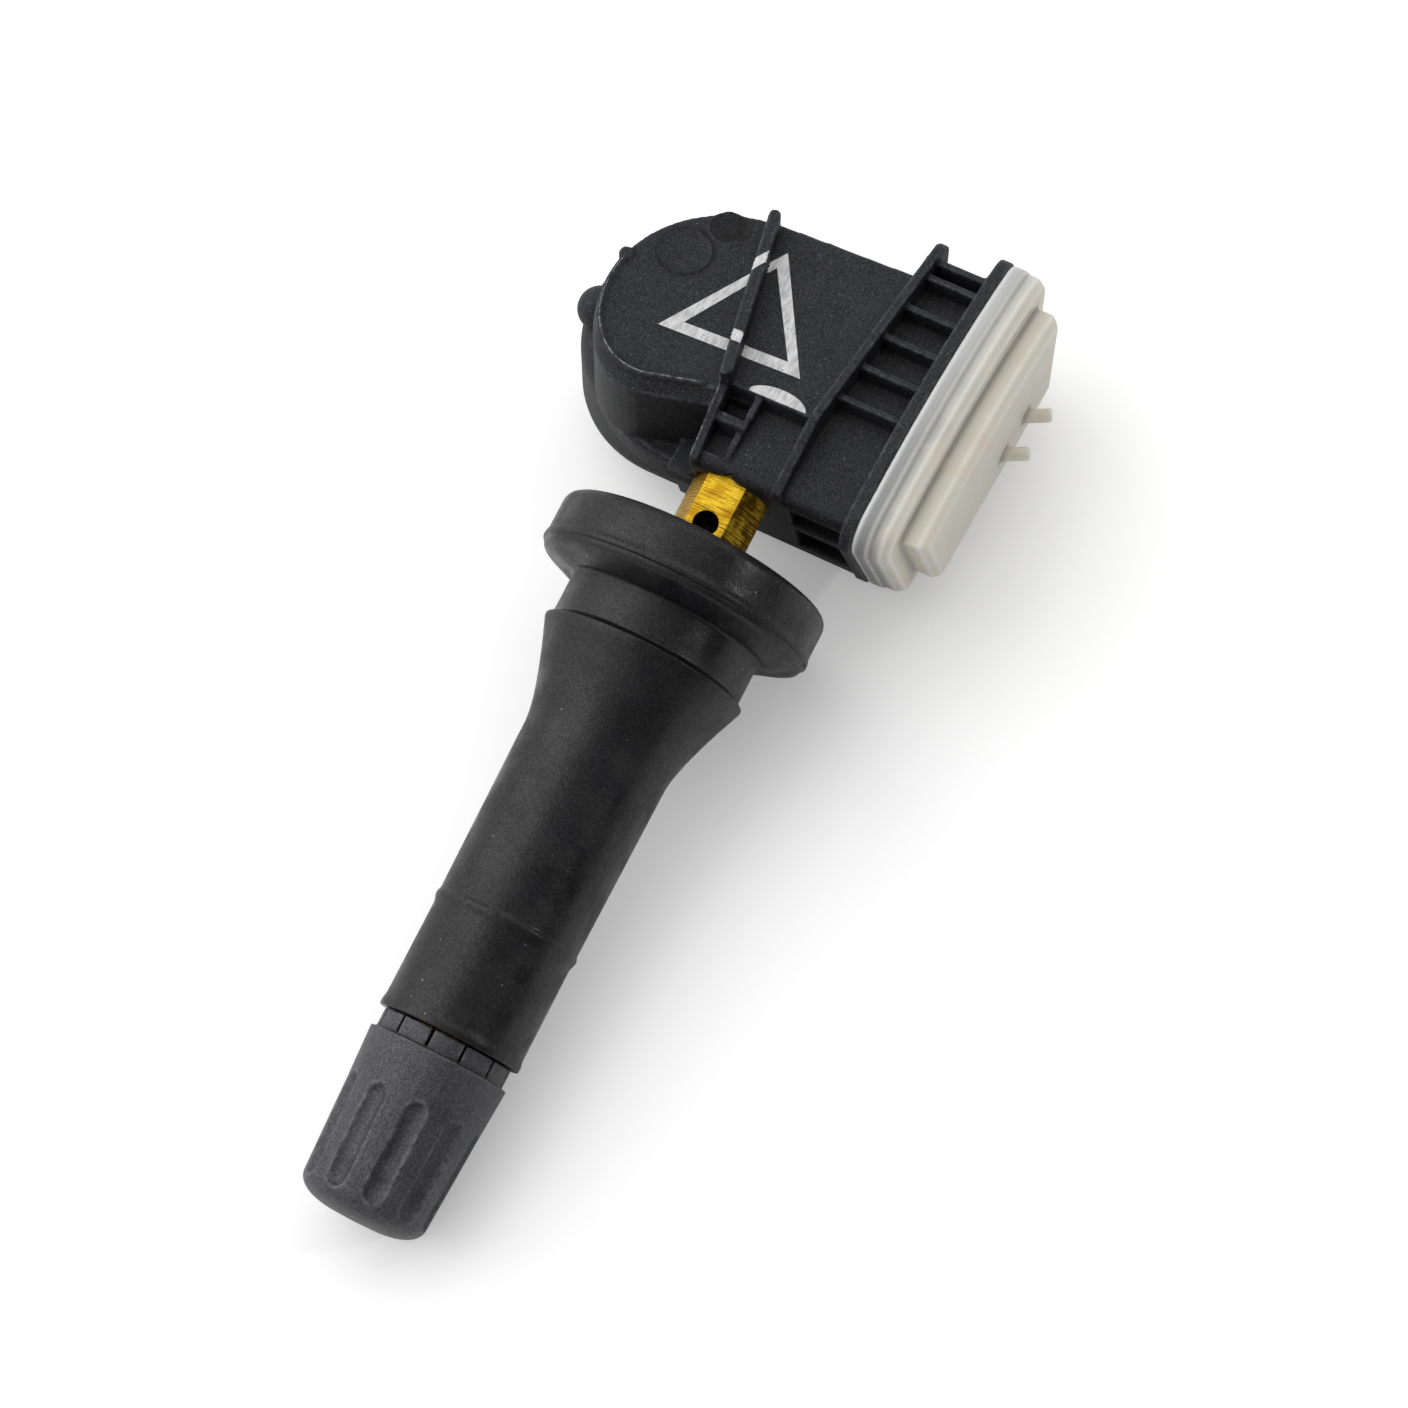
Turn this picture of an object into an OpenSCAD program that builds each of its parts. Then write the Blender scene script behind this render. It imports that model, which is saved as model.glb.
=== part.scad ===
// Snap-in tyre pressure sensor: a rubber tyre valve with a sensor housing screwed to its brass end.
// Frame: origin on the valve axis at the face that seats on the rim, +Y along the valve axis towards
// the housing, +Z towards the marked face of the housing. Millimetres.

/* [Rubber valve] */
// Diameter of the flange that seals inside the rim
flange_d = 19.6; // [18.6:0.1:21]
// Distance from the rim seat to the far face of the flange
flange_t = 4; // [3.8:0.1:4.6]
// Diameter of the neck that the rim hole squeezes
neck_d = 13.7; // [13.2:0.1:14]
// Distance from the rim seat to the snap lip
groove_w = 3.8; // [3.2:0.1:4.4]
// Distance that the flange's soft underside bulges past the rim seat
bulge = 0.7; // [0.5:0.1:0.9]
// Diameter of the lip that snaps through the rim hole
lip_d = 14.5; // [14.2:0.1:14.9]
// Length of the taper below the lip
taper_l = 6.9; // [6:0.1:8]
// Diameter of the stem below the taper
stem_d = 10.3; // [9.8:0.1:11]
// Diameter of the stem above its step ring
stem_mid_d = 10; // [9.6:0.1:10.2]
// Diameter of the stem below its step ring
stem_end_d = 9.9; // [9.5:0.1:10]
// Distance from the rim seat to the step ring
ring_at = 23.8; // [21:0.1:26]
// Distance from the rim seat to the end of the rubber
rubber_l = 31.8; // [31:0.1:33]
// Radial gap left by the bond between rubber and brass
bond_gap = 0.02; // [0.01:0.01:0.03]

/* [Brass stem] */
// Distance from the rim seat to the tip of the stem
tip_l = 41; // [40.5:0.1:42]
// Diameter of the valve thread
thread_d = 7.7; // [7.6:0.05:7.8]
// Diameter of the stem inside the rubber
brass_d = 6; // [5.4:0.1:6.6]
// Diameter of the anchor collar inside the flange
anchor_d = 8.6; // [7.6:0.1:10]
// Width across the flats of the hexagonal end
hex_af = 4.8; // [4.6:0.05:5]
// Length of the hexagonal end beyond the flange
hex_l = 8.8; // [8.5:0.1:9]
// Diameter of the air passage
air_d = 2.8; // [2.2:0.1:3.2]
// Diameter of the cross hole that lets the air out
cross_d = 1.75; // [1.4:0.05:2]
// Distance from the rim seat to the cross hole
cross_at = 5.9; // [5.6:0.1:6.2]

/* [Valve core] */
// Diameter of the bore that the core screws into
core_bore_d = 4.8; // [4.6:0.05:4.9]
// Clearance round the core
core_gap = 0.05; // [0.03:0.01:0.08]
// Diameter of the core's body
core_d = 3.5; // [3.3:0.05:3.6]
// Diameter of the core's pin
pin_d = 1.1; // [1:0.05:1.2]
// Length of the core's barrel
core_l = 11.7; // [11:0.1:12.2]
// Travel of the pin when it is pressed
pin_travel = 1.2; // [0.8:0.1:1.4]
// Turns of the core's spring
spring_turns = 6; // [4:1:8]

/* [Dust cap] */
// Diameter at the open end of the cap
cap_d = 9.8; // [9.6:0.1:10]
// Diameter where the end rounding starts
cap_end_d = 8.8; // [8.7:0.05:9]
// Thickness of the cap's closed end
roof_t = 1.4; // [1:0.1:2]
// Radius of the edge at the closed end
cap_edge_r = 1.1; // [0.8:0.1:1.4]
// Height of the slit collar
collar_h = 1.3; // [1:0.1:1.6]
// Slits in the collar
slits = 12; // [8:1:16]
// Grip grooves round the cap
grooves = 10; // [8:1:12]
// Diameter of the round grip grooves
groove_d = 1.9; // [1.6:0.1:2]
// Thickness of the rubber seal in the cap
cap_seal_t = 0.8; // [0.6:0.1:1]

/* [Housing] */
// Angle between the valve axis and the marked face
tilt = 15.5; // [14:0.5:17]
// Distance from the rim seat to the front face
front_at = 9.1; // [8.8:0.1:9.4]
// Height of the marked face
face_h = 8.5; // [8.4:0.1:9]
// Depth of the base below the origin
base_h = 4.4; // [4.3:0.1:5]
// Height of the edge between the sloping front and the front face
brow_h = 5.4; // [5.2:0.1:5.6]
// Depth of the steps below the marked face
step_h = 1.4; // [1:0.1:1.5]
// Distance along the marked face to its front edge
ridge_y = 12.9; // [12.7:0.1:13.2]
// Distance along the marked face to its back edge
back_y = 26.4; // [26:0.1:27]
// Radius of the upper dome
dome_r = 8.6; // [8.3:0.1:8.7]
// Height where the dome's wall meets the wider base
shoulder_h = 3; // [2.6:0.1:3.4]
// Wall round the coin cell
wall = 0.5; // [0.45:0.05:0.6]
// Thickness of the raised wall across the marked face
fin_t = 0.85; // [0.7:0.05:1]
// Height of the raised wall across the marked face
fin_h = 1.5; // [1.2:0.1:1.8]
// Side position of the ladder's first rail
rail_x = 3.6; // [3.5:0.1:3.7]
// Thickness of the first rail
rail_t = 0.7; // [0.6:0.1:0.9]
// Height of the first rail above the marked face
rail_h = 0.6; // [0.4:0.1:0.8]
// Side position of the joint between housing and cover
joint_x = 10; // [9.8:0.1:10.4]
// Thickness of the flange behind the cover
rim_t = 0.9; // [0.8:0.1:1.2]
// Cross ribs of the ladder
rungs = 5; // [4:1:5]
// Distance from one cross rib to the next
rung_pitch = 2.84; // [2.7:0.01:2.9]
// Thickness of a cross rib
rung_t = 0.5; // [0.4:0.05:0.7]

/* [Cover] */
// Thickness of the cover's flange
cover_t = 2.6; // [2.2:0.1:3]
// Height of the cover's raised middle
crown_h = 1.9; // [1.5:0.1:2.3]
// Margin between the flange's edge and the raised middle
crown_in = 2.1; // [1.8:0.1:2.4]
// Wall of the cover
cover_wall = 1.1; // [0.9:0.1:1.3]
// Height of the two pegs on the cover
peg_h = 1.9; // [1.5:0.1:2.3]
// Diameter of the two pegs on the cover
peg_d = 1; // [0.8:0.1:1.2]

/* [Electronics and screw] */
// Diameter of the coin cell
cell_d = 16; // [15.8:0.1:16]
// Thickness of the coin cell
cell_t = 3.2; // [3:0.1:3.2]
// Thickness of the circuit board
board_t = 1; // [0.8:0.1:1.2]
// Thickness of the cell's welded tabs
tab_t = 0.15; // [0.1:0.05:0.2]
// Side of the square sensor chip
chip_w = 5; // [4.6:0.1:5.2]
// Height of the sensor chip
chip_h = 1.9; // [1.6:0.1:2]
// Diameter of the pressure port
port_d = 1.2; // [1:0.1:1.4]
// Diameter of the fixing screw
screw_d = 2.2; // [2:0.1:2.4]
// Diameter of the screw's head
head_d = 3; // [2.8:0.1:3.2]
// Distance from the rim seat to the screw
screw_at = 11.1; // [11:0.05:11.2]

/* [Hidden] */

round_fn = 96;
small_fn = 32;
eps = 0.01;
through = 40;

// Rubber
seat_fillet = 0.2;
seat_w = 0.45;
under_at = 0;
under_step = 0.22;
parting_at = 0.55;
parting_step = 0.12;
edge_r = 0.8;
lip_land = 0.3;
ring_w = 0.5;
ring_rise = 0.12;
end_bead = 0.1;
end_bead_w = 0.8;

// Brass
anchor_t = 1.4;
anchor_at = 1;
tip_chamfer = 0.5;
thread_end_gap = 0.05;
hex_end = flange_t + hex_l;
air_end = cross_at + cross_d / 2 + 0.3;
hex_z = hex_af / 2;

// Valve core, measured from the tip towards the housing
head_top = 0.8;
head_w = 3;
head_gap = 0.3;
seat_top = 8.2;
seat_l = 1.4;
spring_top = 5;
spring_l = 5.2;
spring_wire = 0.32;
shoulder_l = 1.3;
seal_t = 1.1;
seal_gap = 0.05;
pin_foot_t = 0.4;
barrel_bore_d = 1.9;
chamber_d = 2.7;
neck_core_d = 3.1;

// Dust cap
cap_play = 0.06;
cap_mouth_gap = 0.1;
roof_recess = 1.4;
groove_depth = 0.4;
cap_waist = 0.2;
groove_from = 4;
groove_left = 0.7;
cap_dome = 0.35;
slit_w = 0.18;

// Housing
cell_right = 0.45;
cell_front = 11.3;
cell_c = [cell_right - cell_d / 2, cell_front + cell_d / 2];
base_r = cell_d / 2 + wall + 0.05;
dome_c = [-5.1, 17];
dome_front = 9.85;
dome_corner_x = -7.8;
front_skew = 0.29;
face_turn = 25;
edge_in = 0.85;
edge_drop = 0.9;
bead_w = 0.4;
bead_h = 0.15;
knob_at = [-13.35, 18.9];
bulge_at = [-14.6, 17.3, 3.2];
fin_x = [-5.5, -2.5];
lug_x = -4.75;
ledge_z = [0.6, 1.9];
lug_h = 2.8;
front_wall_t = 0.6;
front_wall_x = -2.9;
brow_chamfer = 1.1;
rib_x = [-0.35, 0.15];
rib_turn = 7;
bar_y = [10.7, 11.3];
pocket_wall = 0.15;
slope_h = face_h - step_h;
rail_end_y = 29.8;
rail_end_x = 5;
rail_slant = (rail_end_x - rail_x) / (rail_end_y - ridge_y);
back_skew = 0.5;
ladder_back_y = 28.4;
back_wall = 0.5;
first_rung = 26.55;
floor_t = 0.7;
cover_gap = 0.1;
cover_band = 1.1;
cover_step = 0.15;
peg_lean = 30;
wall_at_mouth = 1.6;
socket_gap = 0.05;
head_seat = 2.2;
socket_back = hex_end + 1.4;
head_t = 1.4;
rim_y = [5.3, 31.2];
rim_top = face_h - 0.2;
rim_arch = 1.5;
rim_round = 2.2;
spigot_t = 0.9;
spigot_l = 0.4;
board_z = 0.4;
board_x = joint_x - 1.6;
cell_z = -base_h + floor_t + tab_t;
upper_room_h = 5.4;
chip_c = [joint_x / 2 + 0.2, cell_c[1] + 1.5];
tab_w = 3;

// Side position of the first rail at forward position y
function rail_at(y) = rail_x + rail_slant * (y - ridge_y);

// Forward position of a plane square to the valve axis, at height h of the housing's frame
function along(y, h) = (y - h * sin(tilt)) / cos(tilt);

// Height of a thin wall over the brass end, at forward position y of the housing's frame
function over_brass(y) = y * tan(tilt) + (hex_z + socket_gap) / cos(tilt) + pocket_wall;

// Points on an arc from angle a0 to a1
function arc(cx, cy, r, a0, a1, n = 8) = [
    for (i = [0:n]) let (a = a0 + (a1 - a0) * i / n) [cx + r * cos(a), cy + r * sin(a)]
];

// Smooth curve through a corner point
function bend(a, b, c, n = 12) = [
    for (i = [0:n]) let (t = i / n) (1 - t) * (1 - t) * a + 2 * t * (1 - t) * b + t * t * c
];

// Solid turned about the valve axis from points [radius, distance along +Y]
module turned(points, fn = round_fn) {
    rotate([-90, 0, 0]) rotate_extrude($fn = fn) polygon(points);
}

// Puts a part drawn in the housing's own frame into the valve's frame
module in_housing() {
    rotate([-tilt, 0, 0]) children();
}

// Extrudes a side outline drawn as [forward, up] from side position x0 to x1
module across(x0, x1) {
    translate([x0, 0, 0]) rotate([90, 0, 90]) linear_extrude(x1 - x0) children();
}

// Block given by its low and high corners
module block(a, b) {
    translate(a) cube([b[0] - a[0], b[1] - a[1], b[2] - a[2]]);
}

// Rubber of the valve: stem, snap lip, neck groove and sealing flange
module valve_rubber() {
    fr = flange_d / 2;
    nr = neck_d / 2;
    lr = lip_d / 2;
    bore = brass_d / 2 + bond_gap;
    anchor = anchor_d / 2 + bond_gap;
    neck_end = -groove_w;
    taper_end = neck_end - lip_land - taper_l;
    outer = concat(
        [[bore, -rubber_l], [stem_end_d / 2 + end_bead, -rubber_l],
         [stem_end_d / 2 + end_bead, -rubber_l + end_bead_w / 2], [stem_end_d / 2, -rubber_l + end_bead_w]],
        [[stem_end_d / 2, -ring_at - ring_w], [stem_mid_d / 2 + ring_rise, -ring_at],
         [stem_mid_d / 2 + ring_rise, -ring_at + ring_w / 2], [stem_mid_d / 2, -ring_at + ring_w]],
        bend([stem_d / 2, taper_end], [stem_d / 2 + 0.1, neck_end - lip_land - taper_l * 0.7],
             [lr, neck_end - lip_land]),
        [[lr, neck_end - lip_land / 2], [nr + 0.2, neck_end], [nr, neck_end + 0.15]],
        arc(nr + seat_fillet, -bulge - seat_fillet, seat_fillet, 180, 90, 6),
        [[nr + seat_fillet + seat_w, -bulge], [fr - under_step - 0.35, under_at],
         [fr - under_step - 0.1, under_at + 0.15], [fr - under_step, under_at + 0.35], [fr - under_step, parting_at], [fr, parting_at + 0.08], [fr, parting_at + 0.3],
         [fr - parting_step, (parting_at + flange_t) / 2]],
        arc(fr - parting_step - edge_r, flange_t - edge_r, edge_r, 0, 90, 8),
        [[bore, flange_t], [bore, anchor_at + anchor_t + bond_gap], [anchor, anchor_at + anchor_t + bond_gap],
         [anchor, anchor_at - bond_gap], [bore, anchor_at - bond_gap]]
    );
    color("#2b2b2e") turned(outer);
}

// Brass stem: threaded end, anchored middle, hexagonal end with its cross hole and screw hole
module valve_stem() {
    tr = thread_d / 2;
    br = brass_d / 2;
    cb = core_bore_d / 2;
    cd = core_d / 2 + 0.3;
    color("#c9a227") difference() {
        union() {
            turned([[0, -tip_l], [tr - tip_chamfer, -tip_l], [tr, -tip_l + tip_chamfer],
                    [tr, -rubber_l - thread_end_gap - tr + br], [br, -rubber_l - thread_end_gap], [br, anchor_at],
                    [anchor_d / 2, anchor_at], [anchor_d / 2, anchor_at + anchor_t],
                    [br, anchor_at + anchor_t], [br, flange_t], [0, flange_t]]);
            translate([0, flange_t - eps, 0]) rotate([-90, 0, 0]) rotate(30)
                cylinder(r = hex_z / cos(30), h = hex_l + eps, $fn = 6);
        }
        turned([[0, -tip_l - 1], [cb, -tip_l - 1], [cb, -tip_l + seat_top],
                [cd, -tip_l + seat_top + seat_l], [cd, -tip_l + core_l + 4], [air_d / 2, -tip_l + core_l + 5],
                [air_d / 2, air_end], [0, air_end]], small_fn * 2);
        translate([0, cross_at, -through / 2]) cylinder(d = cross_d, h = through, $fn = small_fn);
        translate([0, screw_at, -through]) cylinder(d = screw_d + 2 * socket_gap, h = through + 0.9, $fn = small_fn);
    }
}

// Barrel of the valve core: screwed head, gasket seat and spring chamber
module core_barrel() {
    top = -tip_l + head_top;
    end = top + core_l;
    hr = core_bore_d / 2 - core_gap;
    seat_at = -tip_l + seat_top - head_gap;
    color("#d8b860") turned([
        [barrel_bore_d / 2, top], [hr, top], [hr, top + head_w], [neck_core_d / 2, top + head_w + 0.4],
        [neck_core_d / 2, seat_at + seat_l + 0.3], [core_d / 2, seat_at + seat_l + 0.6], [core_d / 2, end],
        [barrel_bore_d / 2, end], [barrel_bore_d / 2, end - shoulder_l],
        [chamber_d / 2, end - shoulder_l], [chamber_d / 2, end - shoulder_l - spring_l - 0.9],
        [barrel_bore_d / 2, end - shoulder_l - spring_l - 1.5]], small_fn * 2);
}

// Tapered gasket that seals the barrel in the stem
module core_gasket() {
    seat_at = -tip_l + seat_top - head_gap;
    cb = core_bore_d / 2;
    cd = core_d / 2 + 0.3;
    slope = (cb - cd) / seat_l;
    color("#b33a2b") turned([
        [neck_core_d / 2 + bond_gap, seat_at - 0.6], [cb - core_gap, seat_at - 0.6],
        [cb - core_gap, seat_at + head_gap - core_gap],
        [cb - core_gap - slope * seat_l * 0.8, seat_at + head_gap - core_gap + seat_l * 0.8],
        [neck_core_d / 2 + bond_gap, seat_at + head_gap - core_gap + seat_l * 0.8]], small_fn * 2);
}

// Pin that opens the valve when it is pressed towards the housing
module core_pin() {
    top = -tip_l + head_top;
    end = top + core_l;
    pr = pin_d / 2;
    collar_at = end - shoulder_l - spring_l;
    foot_at = end + seal_gap + seal_t + bond_gap;
    color("#c8c8c0") turned([
        [0, top - 0.4], [pr - 0.15, top - 0.4], [pr, top - 0.2], [pr, collar_at - 0.35],
        [chamber_d / 2 - 0.15, collar_at - 0.35], [chamber_d / 2 - 0.15, collar_at], [pr, collar_at],
        [pr, foot_at], [core_d / 2 - 0.2, foot_at], [core_d / 2 - 0.2, foot_at + pin_foot_t],
        [0, foot_at + pin_foot_t]], small_fn * 2);
}

// Rubber washer that closes the inner end of the barrel
module core_seal() {
    end = -tip_l + head_top + core_l + seal_gap;
    color("#303030") turned([
        [pin_d / 2 + bond_gap, end], [core_d / 2 - 0.1, end], [core_d / 2 - 0.1, end + seal_t * 0.7],
        [core_d / 2 - 0.3, end + seal_t], [pin_d / 2 + bond_gap, end + seal_t]], small_fn * 2);
}

// Coil spring that pushes the pin shut
module core_spring() {
    end = -tip_l + head_top + core_l - shoulder_l;
    wire = spring_wire / 2;
    coil_r = (pin_d / 2 + chamber_d / 2) / 2 - 0.05;
    length = spring_l - spring_wire - 2 * bond_gap;
    sides = 6;
    per_turn = 14;
    rings = spring_turns * per_turn;
    points = [
        for (i = [0:rings]) let (a = 360 * i / per_turn, y = end - bond_gap - wire - length * i / rings)
            for (k = [0:sides - 1]) let (b = 360 * k / sides, r = coil_r + wire * cos(b))
                [r * cos(a), y + wire * sin(b), r * sin(a)]
    ];
    skin = [
        for (i = [0:rings - 1]) for (k = [0:sides - 1]) let (n = (k + 1) % sides)
            [i * sides + k, i * sides + n, (i + 1) * sides + n, (i + 1) * sides + k]
    ];
    first = [for (k = [0:sides - 1]) sides - 1 - k];
    last = [for (k = [0:sides - 1]) rings * sides + k];
    color("#b9bcc0") polyhedron(points, concat(skin, [first, last]), convexity = 10);
}

// Screw-on dust cap with its slit collar and grip grooves
module dust_cap() {
    mouth = -rubber_l - cap_mouth_gap;
    skirt = mouth - collar_h;
    end = -tip_l - cap_seal_t - roof_recess - roof_t;
    cr = cap_d / 2;
    er = cap_end_d / 2;
    bore = thread_d / 2 + cap_play;
    roof = -tip_l - cap_seal_t;
    groove_top = skirt - groove_from;
    groove_end = end + cap_edge_r + groove_left;
    lean = atan((cr - cap_waist - er) / (groove_top - groove_end));
    color("#2c2c2e") difference() {
        turned(concat(
            [[0, end - cap_dome]], bend([er * 0.4, end - cap_dome * 0.85], [er - 0.25, end - 0.1],
                                        [er, end + cap_edge_r], 8),
            [[cr - cap_waist, skirt - 3.6], [cr, skirt], [cr - 0.35, skirt], [cr - 0.35, mouth], [0, mouth]]));
        turned([[0, roof], [bore, roof], [bore, mouth + 1], [0, mouth + 1]]);
        turned([[0, roof - roof_recess], [core_bore_d / 2, roof - roof_recess], [core_bore_d / 2, roof + 1],
                [0, roof + 1]], small_fn);
        for (i = [0:grooves - 1]) rotate([0, 360 * (i + 0.5) / grooves, 0])
            translate([0, groove_top, cr - cap_waist + groove_d / 2 - groove_depth]) rotate([90 + lean, 0, 0]) {
                cylinder(d = groove_d, h = groove_top - groove_end, $fn = small_fn);
                sphere(d = groove_d, $fn = small_fn);
                translate([0, 0, groove_top - groove_end]) sphere(d = groove_d, $fn = small_fn);
            }
        for (i = [0:slits - 1]) rotate([0, 360 * i / slits, 0])
            block([-slit_w / 2, skirt + 0.1, bore - 1], [slit_w / 2, mouth + 1, cr + 1]);
    }
}

// Rubber ring in the roof of the cap
module cap_seal() {
    color("#3a3a3a") turned([
        [core_bore_d / 2 - 0.4, -tip_l - cap_seal_t], [thread_d / 2 - 0.05, -tip_l - cap_seal_t],
        [thread_d / 2 - 0.05, -tip_l], [core_bore_d / 2 - 0.4, -tip_l]], small_fn * 2);
}

// Outline of the joint between housing and cover, as [forward, up], shrunk by inset
module joint_outline(inset = 0) {
    front_low = along(front_at - 0.6, -base_h);
    crest = [
        for (i = [0:8]) let (t = i / 8, u = 2 * t - 1)
            [rim_y[0] + (rim_y[1] - rim_y[0]) * t, rim_top + rim_arch * (1 - u * u)]
    ];
    offset(delta = -inset) offset(r = rim_round, $fn = small_fn) offset(delta = -rim_round)
        polygon(concat(crest, [[rim_y[1] + 0.3, -base_h + 0.4], [front_low, -base_h + 0.4]]));
}

// Side outline of the housing's core as [forward, up]: back position, height of the flat top
module core_outline(back, top) {
    brow = along(front_at, brow_h);
    slope = (slope_h - brow_h) / (ridge_y - brow);
    low = [along(front_at, brow_h - brow_chamfer), brow_h - brow_chamfer];
    high = [brow + brow_chamfer * 0.7, brow_h + slope * brow_chamfer * 0.7];
    polygon(concat([[along(front_at, -base_h), -base_h]], bend(low, [brow, brow_h - 0.1], high, 6),
                   [[ridge_y, slope_h], [ridge_y, top], [back, top], [back + 0.5, -base_h]]));
}

// Plan outline of the dome, with its flattened front
module dome_plan(c = dome_c, r = dome_r, front_y = dome_front) {
    side = [c[0] - r * cos(face_turn), c[1] - r * sin(face_turn)];
    right = front_wall_x + 0.2;
    foot = [dome_corner_x, front_y];
    polygon(concat(
        [for (i = [0:round_fn]) let (a = 180 + face_turn - (180 + 2 * face_turn) * i / round_fn)
            if (c[0] + r * cos(a) < right) [c[0] + r * cos(a), c[1] + r * sin(a)]],
        [[right, c[1] + sqrt(r * r - (right - c[0]) * (right - c[0]))], [right, front_y + front_skew * (right - foot[0])]],
        bend(foot, [side[0] + 1.9, front_y - 0.5], side, 10)));
}

// Plan outline of the marked face inside its sloping edge, the dome's part alone if asked
module marked_plan(dome_only = false) {
    dome_plan([dome_c[0], dome_c[1] + edge_in / 3], dome_r - 0.1, dome_front + edge_in);
    if (!dome_only) block_plan();
}

// Plan outline of the flat block between the dome and the first rail
module block_plan(shrink = 0) {
    polygon([[dome_c[0], ridge_y + shrink], [rail_x + 0.2 - shrink, ridge_y + shrink],
             [rail_at(back_y) + 0.2 - shrink, back_y - shrink], [dome_c[0], back_y - back_skew - shrink]]);
}

// Plan outline of the raised body under the marked face
module face_plan(shrink = 0) {
    dome_plan(dome_c, dome_r - shrink, dome_front + shrink);
    block_plan(shrink);
}

// Plan outline of the ledge in front of the dome
module ledge_plan() {
    front = along(front_at, ledge_z[1]);
    polygon(concat([[front_wall_x + eps, front]],
                   bend([lug_x - 0.3, front], [-10.6, front + 0.3], [-13.9, 14.3], 8),
                   [cell_c, [front_wall_x + eps, cell_c[1]]]));
}

// Round drum of the base with a rolled shoulder
module base_drum() {
    roll = 1.8;
    foot = 1.5;
    translate([cell_c[0], cell_c[1], 0]) rotate_extrude($fn = round_fn) polygon(concat(
        [[0, -base_h]], arc(base_r - foot, -base_h + foot, foot, -90, 0, 5),
        arc(base_r - roll, shoulder_h - roll, roll, 0, 90, 8), [[0, shoulder_h]]));
}

// Room for the coin cell, the board and the parts under it
module lower_room() {
    floor_z = -base_h + floor_t;
    room_h = board_z + board_t + 0.4 - floor_z;
    front = cell_c[1] - base_r + 0.2 + wall;
    difference() {
        union() {
            translate([cell_c[0], cell_c[1], floor_z]) cylinder(r = base_r - wall, h = room_h, $fn = round_fn);
            difference() {
                block([cell_c[0], front, floor_z], [joint_x + 1, cell_c[1] + base_r - 1.3 - wall, floor_z + room_h]);
                block([-2.9, 0, -through], [4.6, socket_back, through]);
            }
        }
        // Solid left over the cell for the brass end
        block([-3.5, 0, cell_z + cell_t + tab_t], [4.6, socket_back, through]);
    }
}

// Room over the board under the marked face and the ladder
module upper_room() {
    difference() {
        union() {
            translate([0, 0, board_z + board_t]) linear_extrude(face_h - 1 - board_z - board_t)
                intersection() {
                    face_plan(1.1);
                    translate([-through, 0]) square([through + 2.4, 2 * through]);
                }
            block([-4, socket_back, board_z + board_t], [joint_x + 1, back_y - 1, upper_room_h]);
        }
        block([-4.6, 0, -through], [4.6, socket_back, through]);
    }
}

// Hexagonal socket for the brass end, and the way in for the screw from underneath
module valve_socket() {
    translate([0, front_at - 3, 0]) rotate([-90, 0, 0]) rotate(30)
        cylinder(r = (hex_z + socket_gap) / cos(30), h = hex_end + 0.1 - front_at + 3, $fn = 6);
    translate([0, screw_at, -through]) cylinder(d = screw_d + 0.2, h = through, $fn = small_fn);
    translate([0, screw_at, -through]) cylinder(d = head_d + 0.2, h = through - hex_z - head_seat, $fn = small_fn);
}

// Ladder: first rail, cross ribs and the flange that carries the cover
module ladder() {
    rail_top = face_h + rail_h;
    brow = along(front_at, brow_h);
    multmatrix([[1, rail_slant, 0, -rail_slant * ridge_y], [0, 1, 0, 0], [0, 0, 1, 0]])
        across(rail_x, rail_x + rail_t) polygon(concat(
            [[brow + 0.1, brow_h - 0.6], [brow + 0.1, brow_h + 0.5], [ridge_y, rail_top]],
            arc(rail_end_y - 1.3, rail_top - 1.3, 1.3, 90, 0, 5), [[rail_end_y, 0], [ridge_y, 0]]));
    back_x = rail_at(back_y) + eps;
    block([back_x, back_y - 1, -base_h], [joint_x - rim_t + eps, ladder_back_y, slope_h]);
    block([back_x, ladder_back_y - back_wall, 0], [joint_x - rim_t + eps, ladder_back_y, face_h]);
    for (i = [0:rungs - 1]) {
        at = first_rung - rung_pitch * i;
        block([rail_at(at) + eps, at, slope_h - 1], [joint_x - rim_t + eps, at + rung_t,
              face_h - 0.05]);
    }
    across(joint_x - rim_t, joint_x) joint_outline();
}

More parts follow.
